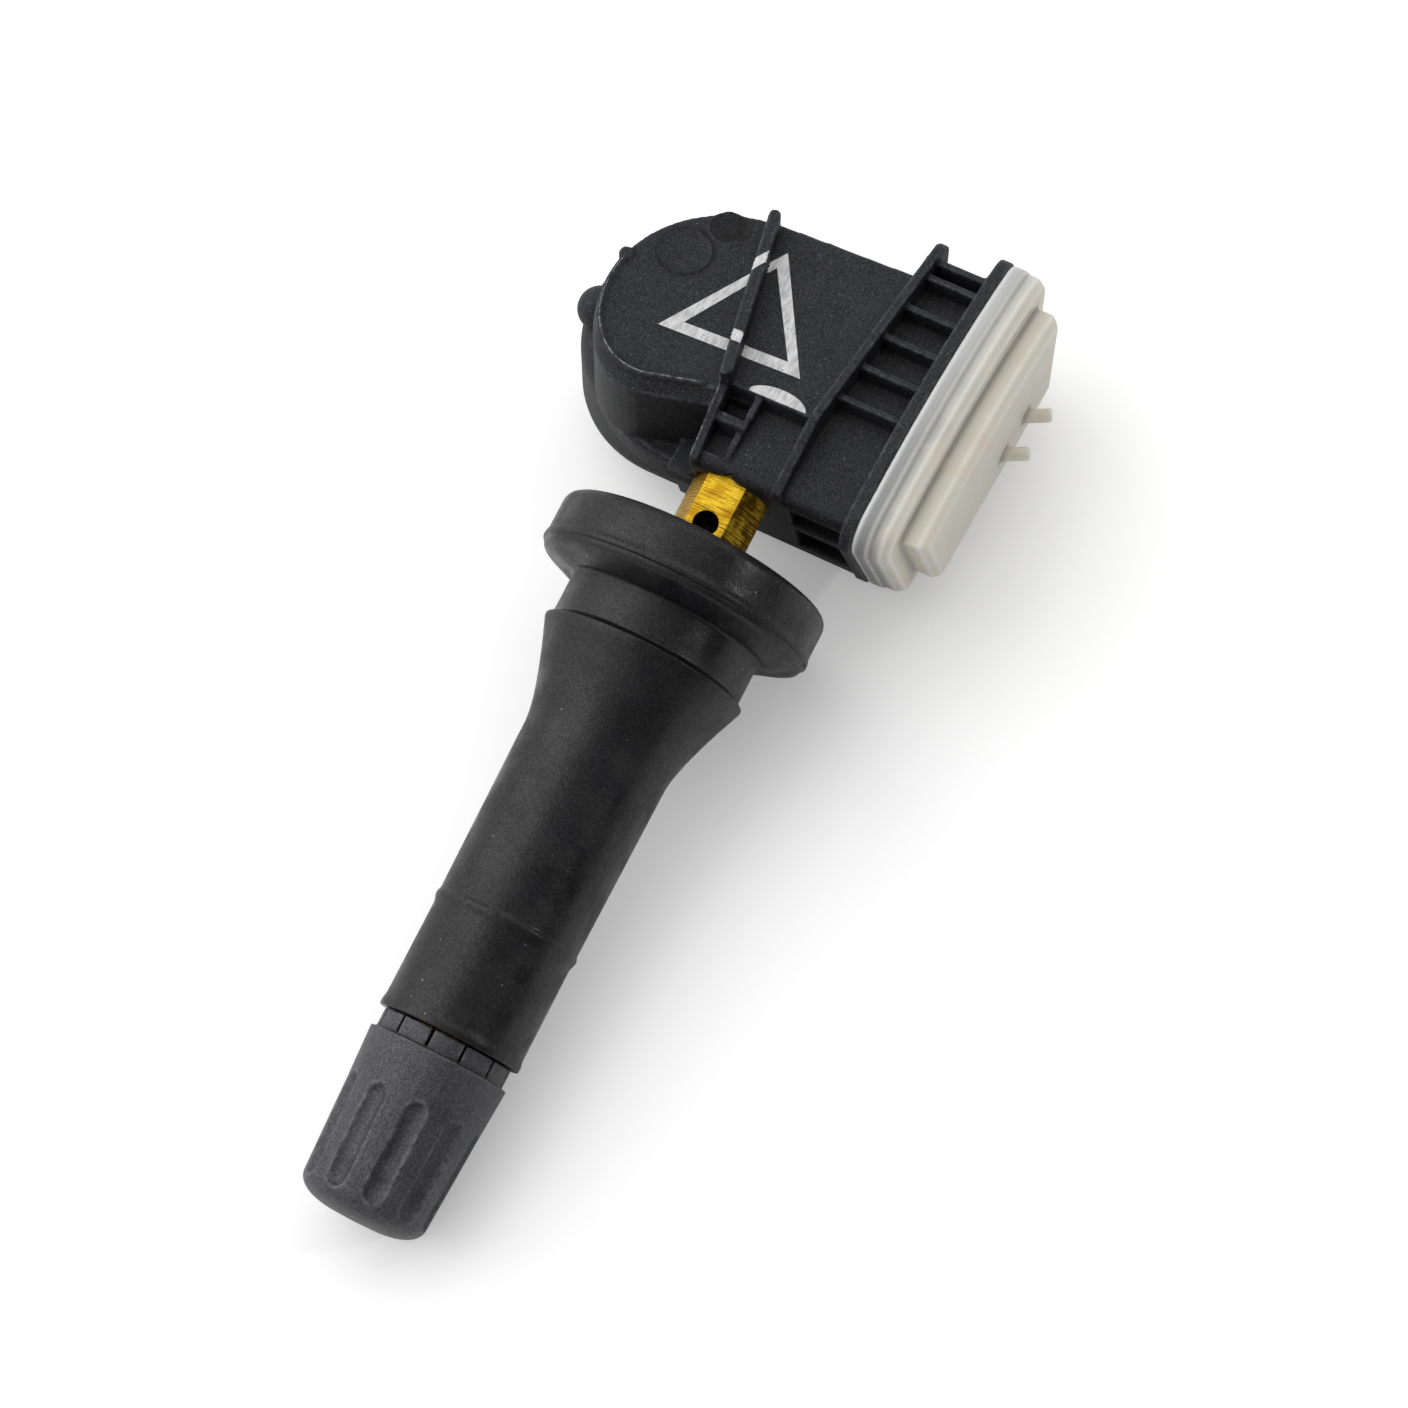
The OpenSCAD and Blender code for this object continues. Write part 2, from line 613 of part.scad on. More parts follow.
// Black moulded housing with its dome, marked face, pocketed front and ladder
module sensor_housing() {
    fin_from = [fin_x[0], back_y - 0.9];
    fin_to = [fin_x[1], ridge_y - 0.4];
    fin_l = norm(fin_to - fin_from);
    fin_a = atan2(fin_to[1] - fin_from[1], fin_to[0] - fin_from[0]);
    brow = along(front_at, brow_h);
    color("#2a2b2e") difference() {
        in_housing() difference() {
            union() {
                // Core under the marked face, with the sloping front
                across(front_wall_x, rail_x + eps) core_outline(back_y, slope_h);
                across(rail_x, joint_x - rim_t + eps) core_outline(back_y, slope_h);
                // Dome and marked face
                translate([0, 0, shoulder_h - 1]) linear_extrude(face_h - edge_drop - shoulder_h + 1) face_plan();
                translate([0, 0, face_h - edge_drop - eps]) linear_extrude(edge_drop + eps) marked_plan();
                hull() {
                    translate([0, 0, face_h - edge_drop - eps]) linear_extrude(eps) dome_plan();
                    translate([0, 0, face_h - eps]) linear_extrude(eps) marked_plan(true);
                }
                translate([0, 0, face_h - eps]) linear_extrude(bead_h) difference() {
                    intersection() {
                        marked_plan(true);
                        translate([-through, 0]) square([through + front_wall_x - 2 * bead_w, knob_at[1]]);
                    }
                    offset(delta = -bead_w) marked_plan(true);
                }
                base_drum();
                across(cell_c[0], front_wall_x + eps) polygon(concat(
                    [[cell_c[1], -base_h]], [[cell_c[1] - base_r + 0.6, -base_h]],
                    arc(cell_c[1] - base_r + 1.8, shoulder_h - 1.8, 1.8, 180, 90, 6),
                    [[cell_c[1] + base_r - 1, shoulder_h], [cell_c[1] + base_r - 1, -base_h]]));
                // Lug beside the brass end
                across(lug_x, front_wall_x + eps) polygon([
                    [along(front_at, -base_h + 1.2), -base_h + 1.2], [along(front_at, lug_h - 1.2) - 0.1, lug_h - 1.2],
                    [along(front_at, lug_h) - 0.3, lug_h], [cell_c[1] - base_r + 1.5, lug_h + 0.3],
                    [cell_c[1] - base_r + 1.5, -base_h + 1.2]]);
                // Ledge in front of the dome
                translate([0, 0, ledge_z[0]]) linear_extrude(ledge_z[1] - ledge_z[0]) ledge_plan();
                translate([0, 0, ledge_z[0]]) linear_extrude(ledge_z[1] - ledge_z[0] + 0.3)
                    offset(delta = -0.35) ledge_plan();
                // Wall and rib that stand on the sloping front
                across(front_wall_x, front_wall_x + front_wall_t) polygon([
                    [brow + 0.2, brow_h - 1], [brow + 0.2, brow_h + 0.3], [ridge_y - 0.2, face_h + 0.3],
                    [ridge_y + 1, face_h + 0.3], [ridge_y + 1, 0]]);
                translate([rib_x[0], ridge_y, 0]) rotate(-rib_turn)
                    across(0, rib_x[1] - rib_x[0]) polygon([
                        [brow + 1 - ridge_y, brow_h - 1], [brow + 1 - ridge_y, brow_h + 0.5], [0.2, face_h], [0.9, 0]]);
                across(front_wall_x + eps, rib_x[1] - 0.2) polygon([
                    [bar_y[0], brow_h - 1], [bar_y[0], slope_h + 0.2], [bar_y[1], slope_h + 0.4],
                    [bar_y[1], brow_h - 1]]);
                // Raised wall across the marked face
                translate([fin_from[0], fin_from[1], face_h - 1]) rotate(fin_a) {
                    translate([0, -fin_t / 2, 0]) cube([fin_l, fin_t, fin_h + 1]);
                    cylinder(d = fin_t, h = fin_h + 1, $fn = small_fn);
                }
                // Round bosses and the ring left by the mould
                translate([-8.2, 24, shoulder_h]) cylinder(r = 1.35, h = face_h - shoulder_h + 0.1, $fn = small_fn);
                translate([knob_at[0], knob_at[1], shoulder_h])
                    cylinder(r = 0.5, h = face_h - shoulder_h + 0.2, $fn = small_fn);
                translate(bulge_at) sphere(r = 1.6, $fn = small_fn);
                translate([-9.9, 20.9, face_h - eps]) difference() {
                    cylinder(r = 1.95, h = 0.13, $fn = small_fn);
                    translate([0, 0, -1]) cylinder(r = 1.8, h = 3, $fn = small_fn);
                }
                ladder();
            }
            // Deep pockets between the wall and the rib
            for (y = [[brow + 1.1, bar_y[0]], [bar_y[1], ridge_y - 0.1]])
                across(front_wall_x + front_wall_t, rib_x[0] + 0.1 - tan(rib_turn) * (ridge_y - y[0])) polygon([
                    [y[0], over_brass(y[0])], [y[1], over_brass(y[1])], [y[1], through], [y[0], through]]);
            // Scooped front face beside the brass end
            difference() {
                across(4.4, joint_x - rim_t - 0.6) polygon([
                    [along(front_at, brow_h - 1) - 1, brow_h - 1.2], [along(front_at, brow_h - 1) + 1.3, brow_h - 1.2],
                    [along(front_at, -base_h) + 1.2, -base_h + 1.2], [along(front_at, -base_h) - 2, -base_h + 1.2]]);
                block([4, 0, 0.2], [joint_x, through, 1]);
            }
            lower_room();
            upper_room();
            // Mouth that takes the cover's spigot
            across(joint_x - spigot_l - 0.1, joint_x + 1) joint_outline(wall_at_mouth);
            // Pressure port in the base
            translate([chip_c[0], chip_c[1], -through]) cylinder(d = port_d, h = through, $fn = small_fn);
        }
        valve_socket();
    }
}

// Translucent cover with its raised middle, pegs and spigot
module housing_cover() {
    top = joint_x + cover_t;
    crown = top + crown_h;
    color("#dcdad0") in_housing() difference() {
        union() {
            across(joint_x, joint_x + cover_band) joint_outline(0.1);
            hull() {
                across(joint_x, top - 0.6) joint_outline(0.1 + cover_step);
                across(top - 0.1, top) joint_outline(0.5 + cover_step);
            }
            hull() {
                across(top - 0.5, crown - 0.6) joint_outline(crown_in);
                across(crown - 0.1, crown) joint_outline(crown_in + 0.5);
            }
            across(joint_x - spigot_l, joint_x + 0.5) joint_outline(wall_at_mouth + cover_gap);
            for (y = [24.1, 20.6]) translate([crown - 0.6, y, 0.9])
                rotate([0, 90, peg_lean]) cylinder(d = peg_d, h = peg_h + 0.6, $fn = small_fn);
        }
        across(joint_x - spigot_l - 1, crown - cover_wall) joint_outline(crown_in + cover_wall);
        across(joint_x - spigot_l - 1, joint_x + cover_t - cover_wall) joint_outline(wall_at_mouth + cover_gap + spigot_t);
    }
}

// Screw with a six-lobed drive, from under the housing into the brass
module fixing_screw() {
    seat = -hex_z - head_seat;
    drive_r = 0.8;
    color("#8d9299") translate([0, screw_at, 0]) difference() {
        union() {
            translate([0, 0, seat - eps]) cylinder(d = screw_d, h = -seat + 0.5 + eps, $fn = small_fn);
            translate([0, 0, seat - head_t]) cylinder(d = head_d, h = head_t, $fn = small_fn * 2);
        }
        translate([0, 0, seat - head_t - 1]) {
            cylinder(r = drive_r * 0.75, h = 2, $fn = small_fn);
            for (i = [0:5]) rotate(60 * i) translate([drive_r * 0.72, 0, 0]) cylinder(r = 0.2, h = 2, $fn = 16);
        }
    }
}

// Circuit board notched round the brass end
module circuit_board() {
    color("#1f5c3a") in_housing() translate([0, 0, board_z]) linear_extrude(board_t) difference() {
        union() {
            translate(cell_c) circle(r = cell_d / 2 - 0.2, $fn = round_fn);
            translate([cell_c[0], cell_c[1] - cell_d / 2 + 1]) square([board_x - cell_c[0], cell_d - 2.6]);
        }
        translate([-4.9, 0]) square([9.8, 14.5]);
        translate([-4.9, 0]) square([through, 12.6]);
        for (p = [[cell_c[0] - cell_d * 0.3, cell_c[1] - cell_d * 0.22], [board_x - 1, cell_c[1] + cell_d * 0.34]])
            translate(p) circle(r = 0.5, $fn = small_fn);
    }
}

// Coin cell: can and the smaller cap on top
module coin_cell() {
    r = cell_d / 2;
    color("#c4c7ca") in_housing() translate([cell_c[0], cell_c[1], cell_z]) rotate_extrude($fn = round_fn)
        polygon([[0, 0], [r - 0.3, 0], [r, 0.3], [r, cell_t - 0.9], [r - 0.25, cell_t - 0.6],
                 [r - 0.8, cell_t - 0.6], [r - 1.1, cell_t], [0, cell_t]]);
}

// Tab welded to the top of the cell and bent up to the board
module cell_tab_upper() {
    x = cell_c[0] + cell_d * 0.3;
    y = cell_c[1] - tab_w / 2;
    z = cell_z + cell_t;
    color("#b7babd") in_housing() {
        block([x - cell_d * 0.44, y, z], [x, y + tab_w, z + tab_t]);
        block([x - tab_t, y, z], [x, y + tab_w, board_z]);
    }
}

// Tab welded under the cell and bent up to the board beside it
module cell_tab_lower() {
    x = cell_c[0] + cell_d / 2 + 0.3;
    y = cell_c[1] - tab_w / 2;
    color("#b7babd") in_housing() {
        block([cell_c[0] - cell_d * 0.12, y, cell_z - tab_t], [x + tab_t, y + tab_w, cell_z]);
        block([x, y, cell_z - tab_t], [x + tab_t, y + tab_w, board_z]);
    }
}

// Pressure and temperature sensor chip under the board
module sensor_chip() {
    w = chip_w / 2;
    color("#26282b") in_housing() translate([chip_c[0], chip_c[1], board_z - chip_h]) difference() {
        block([-w, -w, 0], [w, w, chip_h]);
        translate([0, 0, -1]) cylinder(d = port_d, h = 2, $fn = small_fn);
    }
}

// Silicone ring between the chip and the port in the base
module port_seal() {
    z = -base_h + floor_t;
    color("#a9b4bd") in_housing() translate([chip_c[0], chip_c[1], z]) rotate_extrude($fn = small_fn * 2)
        polygon([[port_d / 2, 0], [1.7, 0], [1.5, board_z - chip_h - z], [port_d / 2, board_z - chip_h - z]]);
}

coil_x = [1.6, board_x - 0.4];
coil_y = cell_c[1] + cell_d / 4;
coil_z = board_z + board_t;
coil_side = 1.1;

// Ferrite bobbin of the low-frequency coil
module coil_core() {
    color("#3b3b3d") in_housing() {
        block([coil_x[0], coil_y - coil_side, coil_z], [coil_x[0] + 1, coil_y + coil_side, coil_z + 2.2]);
        block([coil_x[1] - 1, coil_y - coil_side, coil_z], [coil_x[1], coil_y + coil_side, coil_z + 2.2]);
        block([coil_x[0], coil_y - 0.5, coil_z + 0.6], [coil_x[1], coil_y + 0.5, coil_z + 1.6]);
    }
}

// Copper winding of the low-frequency coil
module coil_winding() {
    color("#a4562a") in_housing() difference() {
        block([coil_x[0] + 1, coil_y - 0.9, coil_z + 0.2], [coil_x[1] - 1, coil_y + 0.9, coil_z + 2]);
        block([coil_x[0], coil_y - 0.5, coil_z + 0.6], [coil_x[1], coil_y + 0.5, coil_z + 1.6]);
    }
}

// Metal can of the crystal
module crystal_can() {
    color("#c9ccd0") in_housing() block([-3.6, 21.8, coil_z], [-0.4, 24.3, coil_z + 0.8]);
}

// Bent antenna strip that stands on the board round the inside of the dome
module antenna_strip() {
    r = dome_r - 1.8;
    color("#b98d4a") in_housing() translate([dome_c[0], dome_c[1], coil_z]) rotate(112)
        rotate_extrude(angle = 116, $fn = round_fn) translate([r - 0.4, 0]) square([0.4, upper_room_h - coil_z]);
}

// Small ceramic capacitors soldered to the board
module chip_capacitors() {
    color("#b08d62") in_housing() for (p = [[2.2, 17], [4.6, 17], [7, 17], [2.2, 19.4], [4.6, 19.4], [-6, 21], [-6, 18.6]])
        block([p[0], p[1], coil_z], [p[0] + 1.2, p[1] + 0.65, coil_z + 0.6]);
}

valve_rubber();
valve_stem();
core_barrel();
core_gasket();
core_pin();
core_seal();
core_spring();
dust_cap();
cap_seal();
sensor_housing();
housing_cover();
fixing_screw();
circuit_board();
coin_cell();
cell_tab_upper();
cell_tab_lower();
sensor_chip();
port_seal();
coil_core();
coil_winding();
crystal_can();
antenna_strip();
chip_capacitors();
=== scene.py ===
import math
import random

import bmesh
import bpy
from mathutils import Matrix, Vector
from mathutils.bvhtree import BVHTree
from mathutils.kdtree import KDTree


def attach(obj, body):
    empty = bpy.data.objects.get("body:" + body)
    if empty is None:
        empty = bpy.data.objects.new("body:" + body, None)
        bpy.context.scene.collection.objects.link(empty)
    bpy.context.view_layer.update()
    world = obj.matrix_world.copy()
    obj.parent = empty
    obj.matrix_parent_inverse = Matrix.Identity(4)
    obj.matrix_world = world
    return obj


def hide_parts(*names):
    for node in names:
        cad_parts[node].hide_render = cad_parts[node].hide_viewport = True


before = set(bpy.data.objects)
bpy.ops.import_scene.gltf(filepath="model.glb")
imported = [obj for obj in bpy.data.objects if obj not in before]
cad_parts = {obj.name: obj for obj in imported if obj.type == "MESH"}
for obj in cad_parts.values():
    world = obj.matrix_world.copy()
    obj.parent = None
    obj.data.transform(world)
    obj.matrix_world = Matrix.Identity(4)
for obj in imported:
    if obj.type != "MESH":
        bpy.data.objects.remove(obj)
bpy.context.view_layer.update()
random.seed(7)

# Sizes in millimetres, where nothing else is said

MM = 0.001
# The housing is pitched by this angle about the valve's end, and its own frame is pitched with it
TILT = math.radians(15.5)
# Height of the marked face, and the drop from above it onto the housing
FACE = 8.5
DROP_FROM = 13
# Rings and a boss on the marked face: place in the housing's own frame, inner and outer radius
MOULD_MARKS = [(-9.9, 20.9, 1.86, 1.98), (-8.2, 24, -1, 1.2)]
# The cross hole in the brass hexagon
HOLE_Y = 5.9
HOLE_D = 1.75
# The brass hexagon: width across its flats, its two ends and its broken edges
HEX_ACROSS = 4.8
HEX_ENDS = (3.9, 12.78)
HEX_EDGE = 0.07
# The valve's thread: pitch, outer and root radius, its ends and the length of its lead-in
THREAD_PITCH = 0.794
THREAD_OUTER = 3.83
THREAD_ROOT = 3.38
THREAD_ENDS = (-41.0, -31.9)
THREAD_LEAD = 0.5
# The cover's spigot reaches this far into the housing, behind the seam
SPIGOT = 0.4
# The paint stands this far off the nylon, and isn't laid over steps higher than the second
PAINT_LIFT = 0.012
PAINT_STEP = 0.25
PAINT_ROWS = 12
FLASH_RADIUS = 0.07
# The photograph's width and the fitted camera's focal length, both in pixels
PHOTO_WIDTH = 1408
PHOTO_FOCAL = 3430
SENSOR = 36

SOFT = {"interpolation_type": "SMOOTHSTEP"}


def on_face(x, y, height):
    """A point of the housing's own frame, in millimetres, in the row's frame, in metres."""
    return Vector((x, y * math.cos(TILT) + height * math.sin(TILT),
                   -y * math.sin(TILT) + height * math.cos(TILT))) * MM


# Colours and shader helpers

def paint(code):
    """A hex colour as linear red, green, blue and alpha."""
    parts = [int(code[i:i + 2], 16) / 255 for i in (1, 3, 5)]
    return [c / 12.92 if c <= 0.04045 else ((c + 0.055) / 1.055) ** 2.4 for c in parts] + [1]


def fill(tree, node, inputs):
    """Gives a node its inputs: a socket is linked, and a number or colour is set on the node's own socket."""
    for key, value in inputs.items():
        if isinstance(value, bpy.types.NodeSocket):
            tree.links.new(value, node.inputs[key])
        else:
            node.inputs[key].default_value = value


def add(tree, kind, inputs=None, take=0, **settings):
    """Adds a shader node with its settings and inputs. Gives one of its outputs, or with None the node."""
    node = tree.nodes.new("ShaderNode" + kind)
    for key, value in settings.items():
        setattr(node, key, value)
    fill(tree, node, inputs or {})
    return node if take is None else node.outputs[take]


def new_material(name):
    """An empty material with its output, and a shader whose coordinates are millimetres on the piece."""
    mat = bpy.data.materials.new(name)
    mat.use_nodes = True
    tree = mat.node_tree
    tree.nodes.clear()
    place = add(tree, "TexCoord", take="Object")
    mm = add(tree, "Mapping", {"Vector": place, "Scale": (1 / MM, 1 / MM, 1 / MM)})
    shader = add(tree, "BsdfPrincipled", take=None)
    add(tree, "OutputMaterial", {"Surface": shader.outputs["BSDF"]}, None)
    return mat, tree, shader, mm


def colours(tree, shader, first, layers):
    """Lays colours over the first one, each where its amount times its share is one, onto the shader."""
    colour = paint(first)
    for amount, share, over in layers:
        cover_by = add(tree, "Math", {0: amount, 1: share}, operation="MULTIPLY")
        colour = add(tree, "Mix", {0: cover_by, 6: colour, 7: paint(over)}, 2, data_type="RGBA")
    fill(tree, shader, {"Base Color": colour})


def bumps(tree, shader, layers):
    """Bump layers on the shader, each a height socket with its depth in millimetres."""
    below = {}
    for height, depth in layers:
        normal = add(tree, "Bump", {"Strength": 1, "Distance": depth * MM, "Height": height, **below})
        below = {"Normal": normal}
    fill(tree, shader, below)


def specks(tree, where, per_mm, reach, share):
    """Round dots, so many to a millimetre and reach of their spacing wide, of which only a share shows."""
    cells = add(tree, "TexVoronoi", {"Vector": where, "Scale": per_mm}, None)
    chance = add(tree, "SeparateColor", {"Color": cells.outputs["Color"]}, "Red")
    dot = add(tree, "MapRange", {"Value": cells.outputs["Distance"], "From Min": reach * 0.4,
                                 "From Max": reach, "To Min": 1, "To Max": 0}, **SOFT)
    shown = add(tree, "MapRange", {"Value": chance, "From Min": share, "From Max": share + 0.01,
                                   "To Min": 1, "To Max": 0}, **SOFT)
    return add(tree, "Math", {0: dot, 1: shown}, operation="MULTIPLY")


def close_to(tree, kind):
    """How close a spot is to an outer_edge, where parts rub and painted highlights go, or to an inner_corner,
    where painted shade goes.
    """
    mark = add(tree, "Attribute", take="Fac", attribute_name=kind)
    return add(tree, "MapRange", {"Value": mark}, **SOFT)


# Materials

def glass_filled_nylon():
    """Black nylon with glass fibre, moulded: a rough sparkling grain, fibre flecks, edges paler from rubbing
    and from painted highlight, and painted shade in its inner corners.
    """
    mat, tree, shader, mm = new_material("glass_filled_nylon_black")
    # The grain is drawn at 0.12 mm, coarser than the real one, so that it shows
    grain = add(tree, "TexNoise", {"Vector": mm, "Scale": 8, "Detail": 3, "Roughness": 0.65})
    clouds = add(tree, "TexNoise", {"Vector": mm, "Scale": 0.35, "Detail": 3, "Roughness": 0.55})
    rubbing = add(tree, "TexNoise", {"Vector": mm, "Scale": 1.6, "Detail": 4, "Roughness": 0.65})
    wear_and_highlight = add(tree, "MapRange", {"Value": rubbing, "From Min": 0.4, "From Max": 0.62, "To Min": 0.12,
                                  "To Max": 0.6}, **SOFT)
    cloudy = add(tree, "MapRange", {"Value": clouds, "From Min": 0.35, "From Max": 0.65}, **SOFT)
    pale = add(tree, "MapRange", {"Value": grain, "From Min": 0.44, "From Max": 0.64}, **SOFT)
    marks = 0
    for x, y, inner, outer in MOULD_MARKS:
        away = add(tree, "VectorMath", {0: mm, 1: on_face(x, y, FACE) / MM}, "Value", operation="DISTANCE")
        past_inner = add(tree, "MapRange", {"Value": away, "From Min": inner - 0.06,
                                            "From Max": inner}, **SOFT)
        past_outer = add(tree, "MapRange", {"Value": away, "From Min": outer, "From Max": outer + 0.08,
                                            "To Min": 1, "To Max": 0}, **SOFT)
        mark = add(tree, "Math", {0: past_inner, 1: past_outer}, operation="MULTIPLY")
        marks = add(tree, "Math", {0: mark, 1: marks}, operation="MAXIMUM")
    colours(tree, shader, "#101113", [
        (cloudy, 1, "#18191c"),
        (pale, 1, "#2b2c30"),
        (specks(tree, mm, 2.6, 0.24, 0.35), 0.5, "#606167"),
        # Outer edges paler: partly rubbed wear, partly a painted highlight along the edges
        (close_to(tree, "outer_edge"), wear_and_highlight, "#5a5b62"),
        # Inner corners darker: painted shade
        (close_to(tree, "inner_corner"), 0.7, "#040405"),
        (marks, 0.5, "#020203")])
    glitter = add(tree, "MapRange", {"Value": grain, "From Min": 0.36, "From Max": 0.64, "To Min": 0.19,
                                     "To Max": 0.48}, **SOFT)
    duller = add(tree, "MapRange", {"Value": marks, "To Min": 1, "To Max": 0.7}, **SOFT)
    fill(tree, shader, {
        "Specular IOR Level": add(tree, "Math", {0: glitter, 1: duller}, operation="MULTIPLY"),
        "Roughness": add(tree, "MapRange", {"Value": grain, "From Min": 0.35, "From Max": 0.65,
                                            "To Min": 0.42, "To Max": 0.66}, **SOFT)})
    sunk = add(tree, "MapRange", {"Value": marks, "To Min": 1, "To Max": 0}, **SOFT)
    bumps(tree, shader, [(clouds, 0.05), (grain, 0.07), (sunk, 0.12)])
    return mat


def moulded_rubber():
    """Black rubber, moulded: deep and smooth, with a broken sheen, pale dust specks and slight flow marks."""
    mat, tree, shader, mm = new_material("moulded_rubber_black")
    haze = add(tree, "TexNoise", {"Vector": mm, "Scale": 0.22, "Detail": 4, "Roughness": 0.55})
    grain = add(tree, "TexNoise", {"Vector": mm, "Scale": 7, "Detail": 3, "Roughness": 0.6})
    sheen = add(tree, "TexNoise", {"Vector": mm, "Scale": 0.5, "Detail": 4, "Roughness": 0.6})
    flow = add(tree, "TexNoise", {"Vector": mm, "Scale": 0.5, "Detail": 3, "Roughness": 0.55})
    hazy = add(tree, "MapRange", {"Value": haze, "From Min": 0.35, "From Max": 0.7}, **SOFT)
    pale = add(tree, "MapRange", {"Value": grain, "From Min": 0.45, "From Max": 0.7}, **SOFT)
    colours(tree, shader, "#0a0a0c", [
        (hazy, 1, "#131316"),
        (pale, 0.5, "#1e1e22"),
        (specks(tree, mm, 0.8, 0.07, 0.30), 0.8, "#9a9aa0"),
        (specks(tree, mm, 2.4, 0.12, 0.14), 0.5, "#77777c")])
    fill(tree, shader, {
        "Roughness": add(tree, "MapRange", {"Value": sheen, "From Min": 0.35, "From Max": 0.65,
                                            "To Min": 0.27, "To Max": 0.46}, **SOFT),
        "Specular IOR Level": add(tree, "MapRange", {"Value": grain, "From Min": 0.36, "From Max": 0.64,
                                                     "To Min": 0.27, "To Max": 0.43}, **SOFT)})
    bumps(tree, shader, [(flow, 0.06), (grain, 0.014)])
    return mat


def scuffed_cap_plastic():
    """Black satin plastic, moulded and greyed by handling: scuffs along it, ridges lighter from rubbing and
    from painted highlight, and painted shade in its inner corners.
    """
    mat, tree, shader, mm = new_material("cap_plastic_satin_black")
    haze = add(tree, "TexNoise", {"Vector": mm, "Scale": 0.4, "Detail": 4, "Roughness": 0.55})
    grain = add(tree, "TexNoise", {"Vector": mm, "Scale": 7, "Detail": 4, "Roughness": 0.7})
    along = add(tree, "Mapping", {"Vector": mm, "Scale": (1, 0.35, 1)})
    scuffs = add(tree, "TexNoise", {"Vector": along, "Scale": 2.2, "Detail": 5, "Roughness": 0.7})
    rubbing = add(tree, "TexNoise", {"Vector": mm, "Scale": 1.6, "Detail": 4, "Roughness": 0.65})
    dents = add(tree, "TexNoise", {"Vector": mm, "Scale": 0.8, "Detail": 3, "Roughness": 0.55})
    hazy = add(tree, "MapRange", {"Value": haze, "From Min": 0.3, "From Max": 0.7}, **SOFT)
    pale = add(tree, "MapRange", {"Value": grain, "From Min": 0.42, "From Max": 0.66}, **SOFT)
    scuffed = add(tree, "MapRange", {"Value": scuffs, "From Min": 0.52, "From Max": 0.72}, **SOFT)
    wear_and_highlight = add(tree, "MapRange", {"Value": rubbing, "From Min": 0.42, "From Max": 0.62, "To Min": 0.04,
                                  "To Max": 0.5}, **SOFT)
    colours(tree, shader, "#1e1e22", [
        (hazy, 1, "#303034"),
        (pale, 0.5, "#444448"),
        (scuffed, 0.35, "#5c5c60"),
        # Ridges paler: partly rubbed wear, partly a painted highlight that deepens the flutes
        (close_to(tree, "outer_edge"), wear_and_highlight, "#6e6f73"),
        # Inner corners near black: painted shade
        (close_to(tree, "inner_corner"), 0.95, "#060607")])
    fill(tree, shader, {
        "Roughness": add(tree, "MapRange", {"Value": haze, "From Min": 0.3, "From Max": 0.7,
                                            "To Min": 0.38, "To Max": 0.5}, **SOFT),
        "Specular IOR Level": add(tree, "MapRange", {"Value": grain, "From Min": 0.36, "From Max": 0.64,
                                                     "To Min": 0.4, "To Max": 0.85}, **SOFT)})
    bumps(tree, shader, [(dents, 0.04), (grain, 0.05)])
    return mat


def turned_brass():
    """Yellow drawn brass, turned: machining lines across the flats, brown tarnish, a painted dark reflection
    in patches on the facets facing +X, and painted shade in the drilled hole.
    """
    mat, tree, shader, mm = new_material("turned_brass")
    across = add(tree, "Mapping", {"Vector": mm, "Scale": (0.4, 8, 0.4)})
    lines = add(tree, "TexNoise", {"Vector": across, "Scale": 1.2, "Detail": 5, "Roughness": 0.7})
    tarnish = add(tree, "TexNoise", {"Vector": mm, "Scale": 0.9, "Detail": 4, "Roughness": 0.55})
    pitting = add(tree, "TexNoise", {"Vector": mm, "Scale": 6, "Detail": 2, "Roughness": 0.55})
    # Facets facing +X are darkened in patches: a painted dark reflection and shade
    outwards = add(tree, "TexCoord", take="Normal")
    sideways = add(tree, "SeparateXYZ", {"Vector": outwards}, "X")
    side = add(tree, "MapRange", {"Value": sideways, "From Min": 0.3, "From Max": 0.8}, **SOFT)
    brown = add(tree, "MapRange", {"Value": tarnish, "From Min": 0.35, "From Max": 0.65}, **SOFT)
    scored = add(tree, "MapRange", {"Value": lines, "From Min": 0.5, "From Max": 0.6}, **SOFT)
    both = add(tree, "Math", {0: tarnish, 1: lines}, operation="ADD")
    dark_patches = add(tree, "MapRange", {"Value": both, "From Min": 0.85, "From Max": 1.1}, **SOFT)
    painted_dark_side = add(tree, "Math", {0: side, 1: dark_patches}, operation="MULTIPLY")
    # The inside of the cross hole is painted near black and not metallic: painted shade
    beside = add(tree, "Mapping", {"Vector": mm, "Location": (0, -HOLE_Y, 0), "Scale": (1, 1, 0)})
    from_hole = add(tree, "VectorMath", {0: beside}, "Value", operation="LENGTH")
    painted_hole_shade = add(tree, "MapRange", {"Value": from_hole, "From Min": HOLE_D / 2 - 0.02,
                                    "From Max": HOLE_D / 2 + 0.06, "To Min": 1, "To Max": 0}, **SOFT)
    colours(tree, shader, "#dcb532", [
        (brown, 1, "#bd9020"),
        (scored, 0.75, "#6e4c10"),
        (painted_dark_side, 0.8, "#3c2608"),
        (painted_hole_shade, 1, "#0a0602")])
    fill(tree, shader, {
        "Metallic": add(tree, "Math", {0: 1, 1: painted_hole_shade}, operation="SUBTRACT"),
        "Specular IOR Level": 0.1,
        "Roughness": add(tree, "MapRange", {"Value": lines, "From Min": 0.35, "From Max": 0.65,
                                            "To Min": 0.24, "To Max": 0.42}, **SOFT)})
    bumps(tree, shader, [(lines, 0.06), (pitting, 0.006)])
    return mat


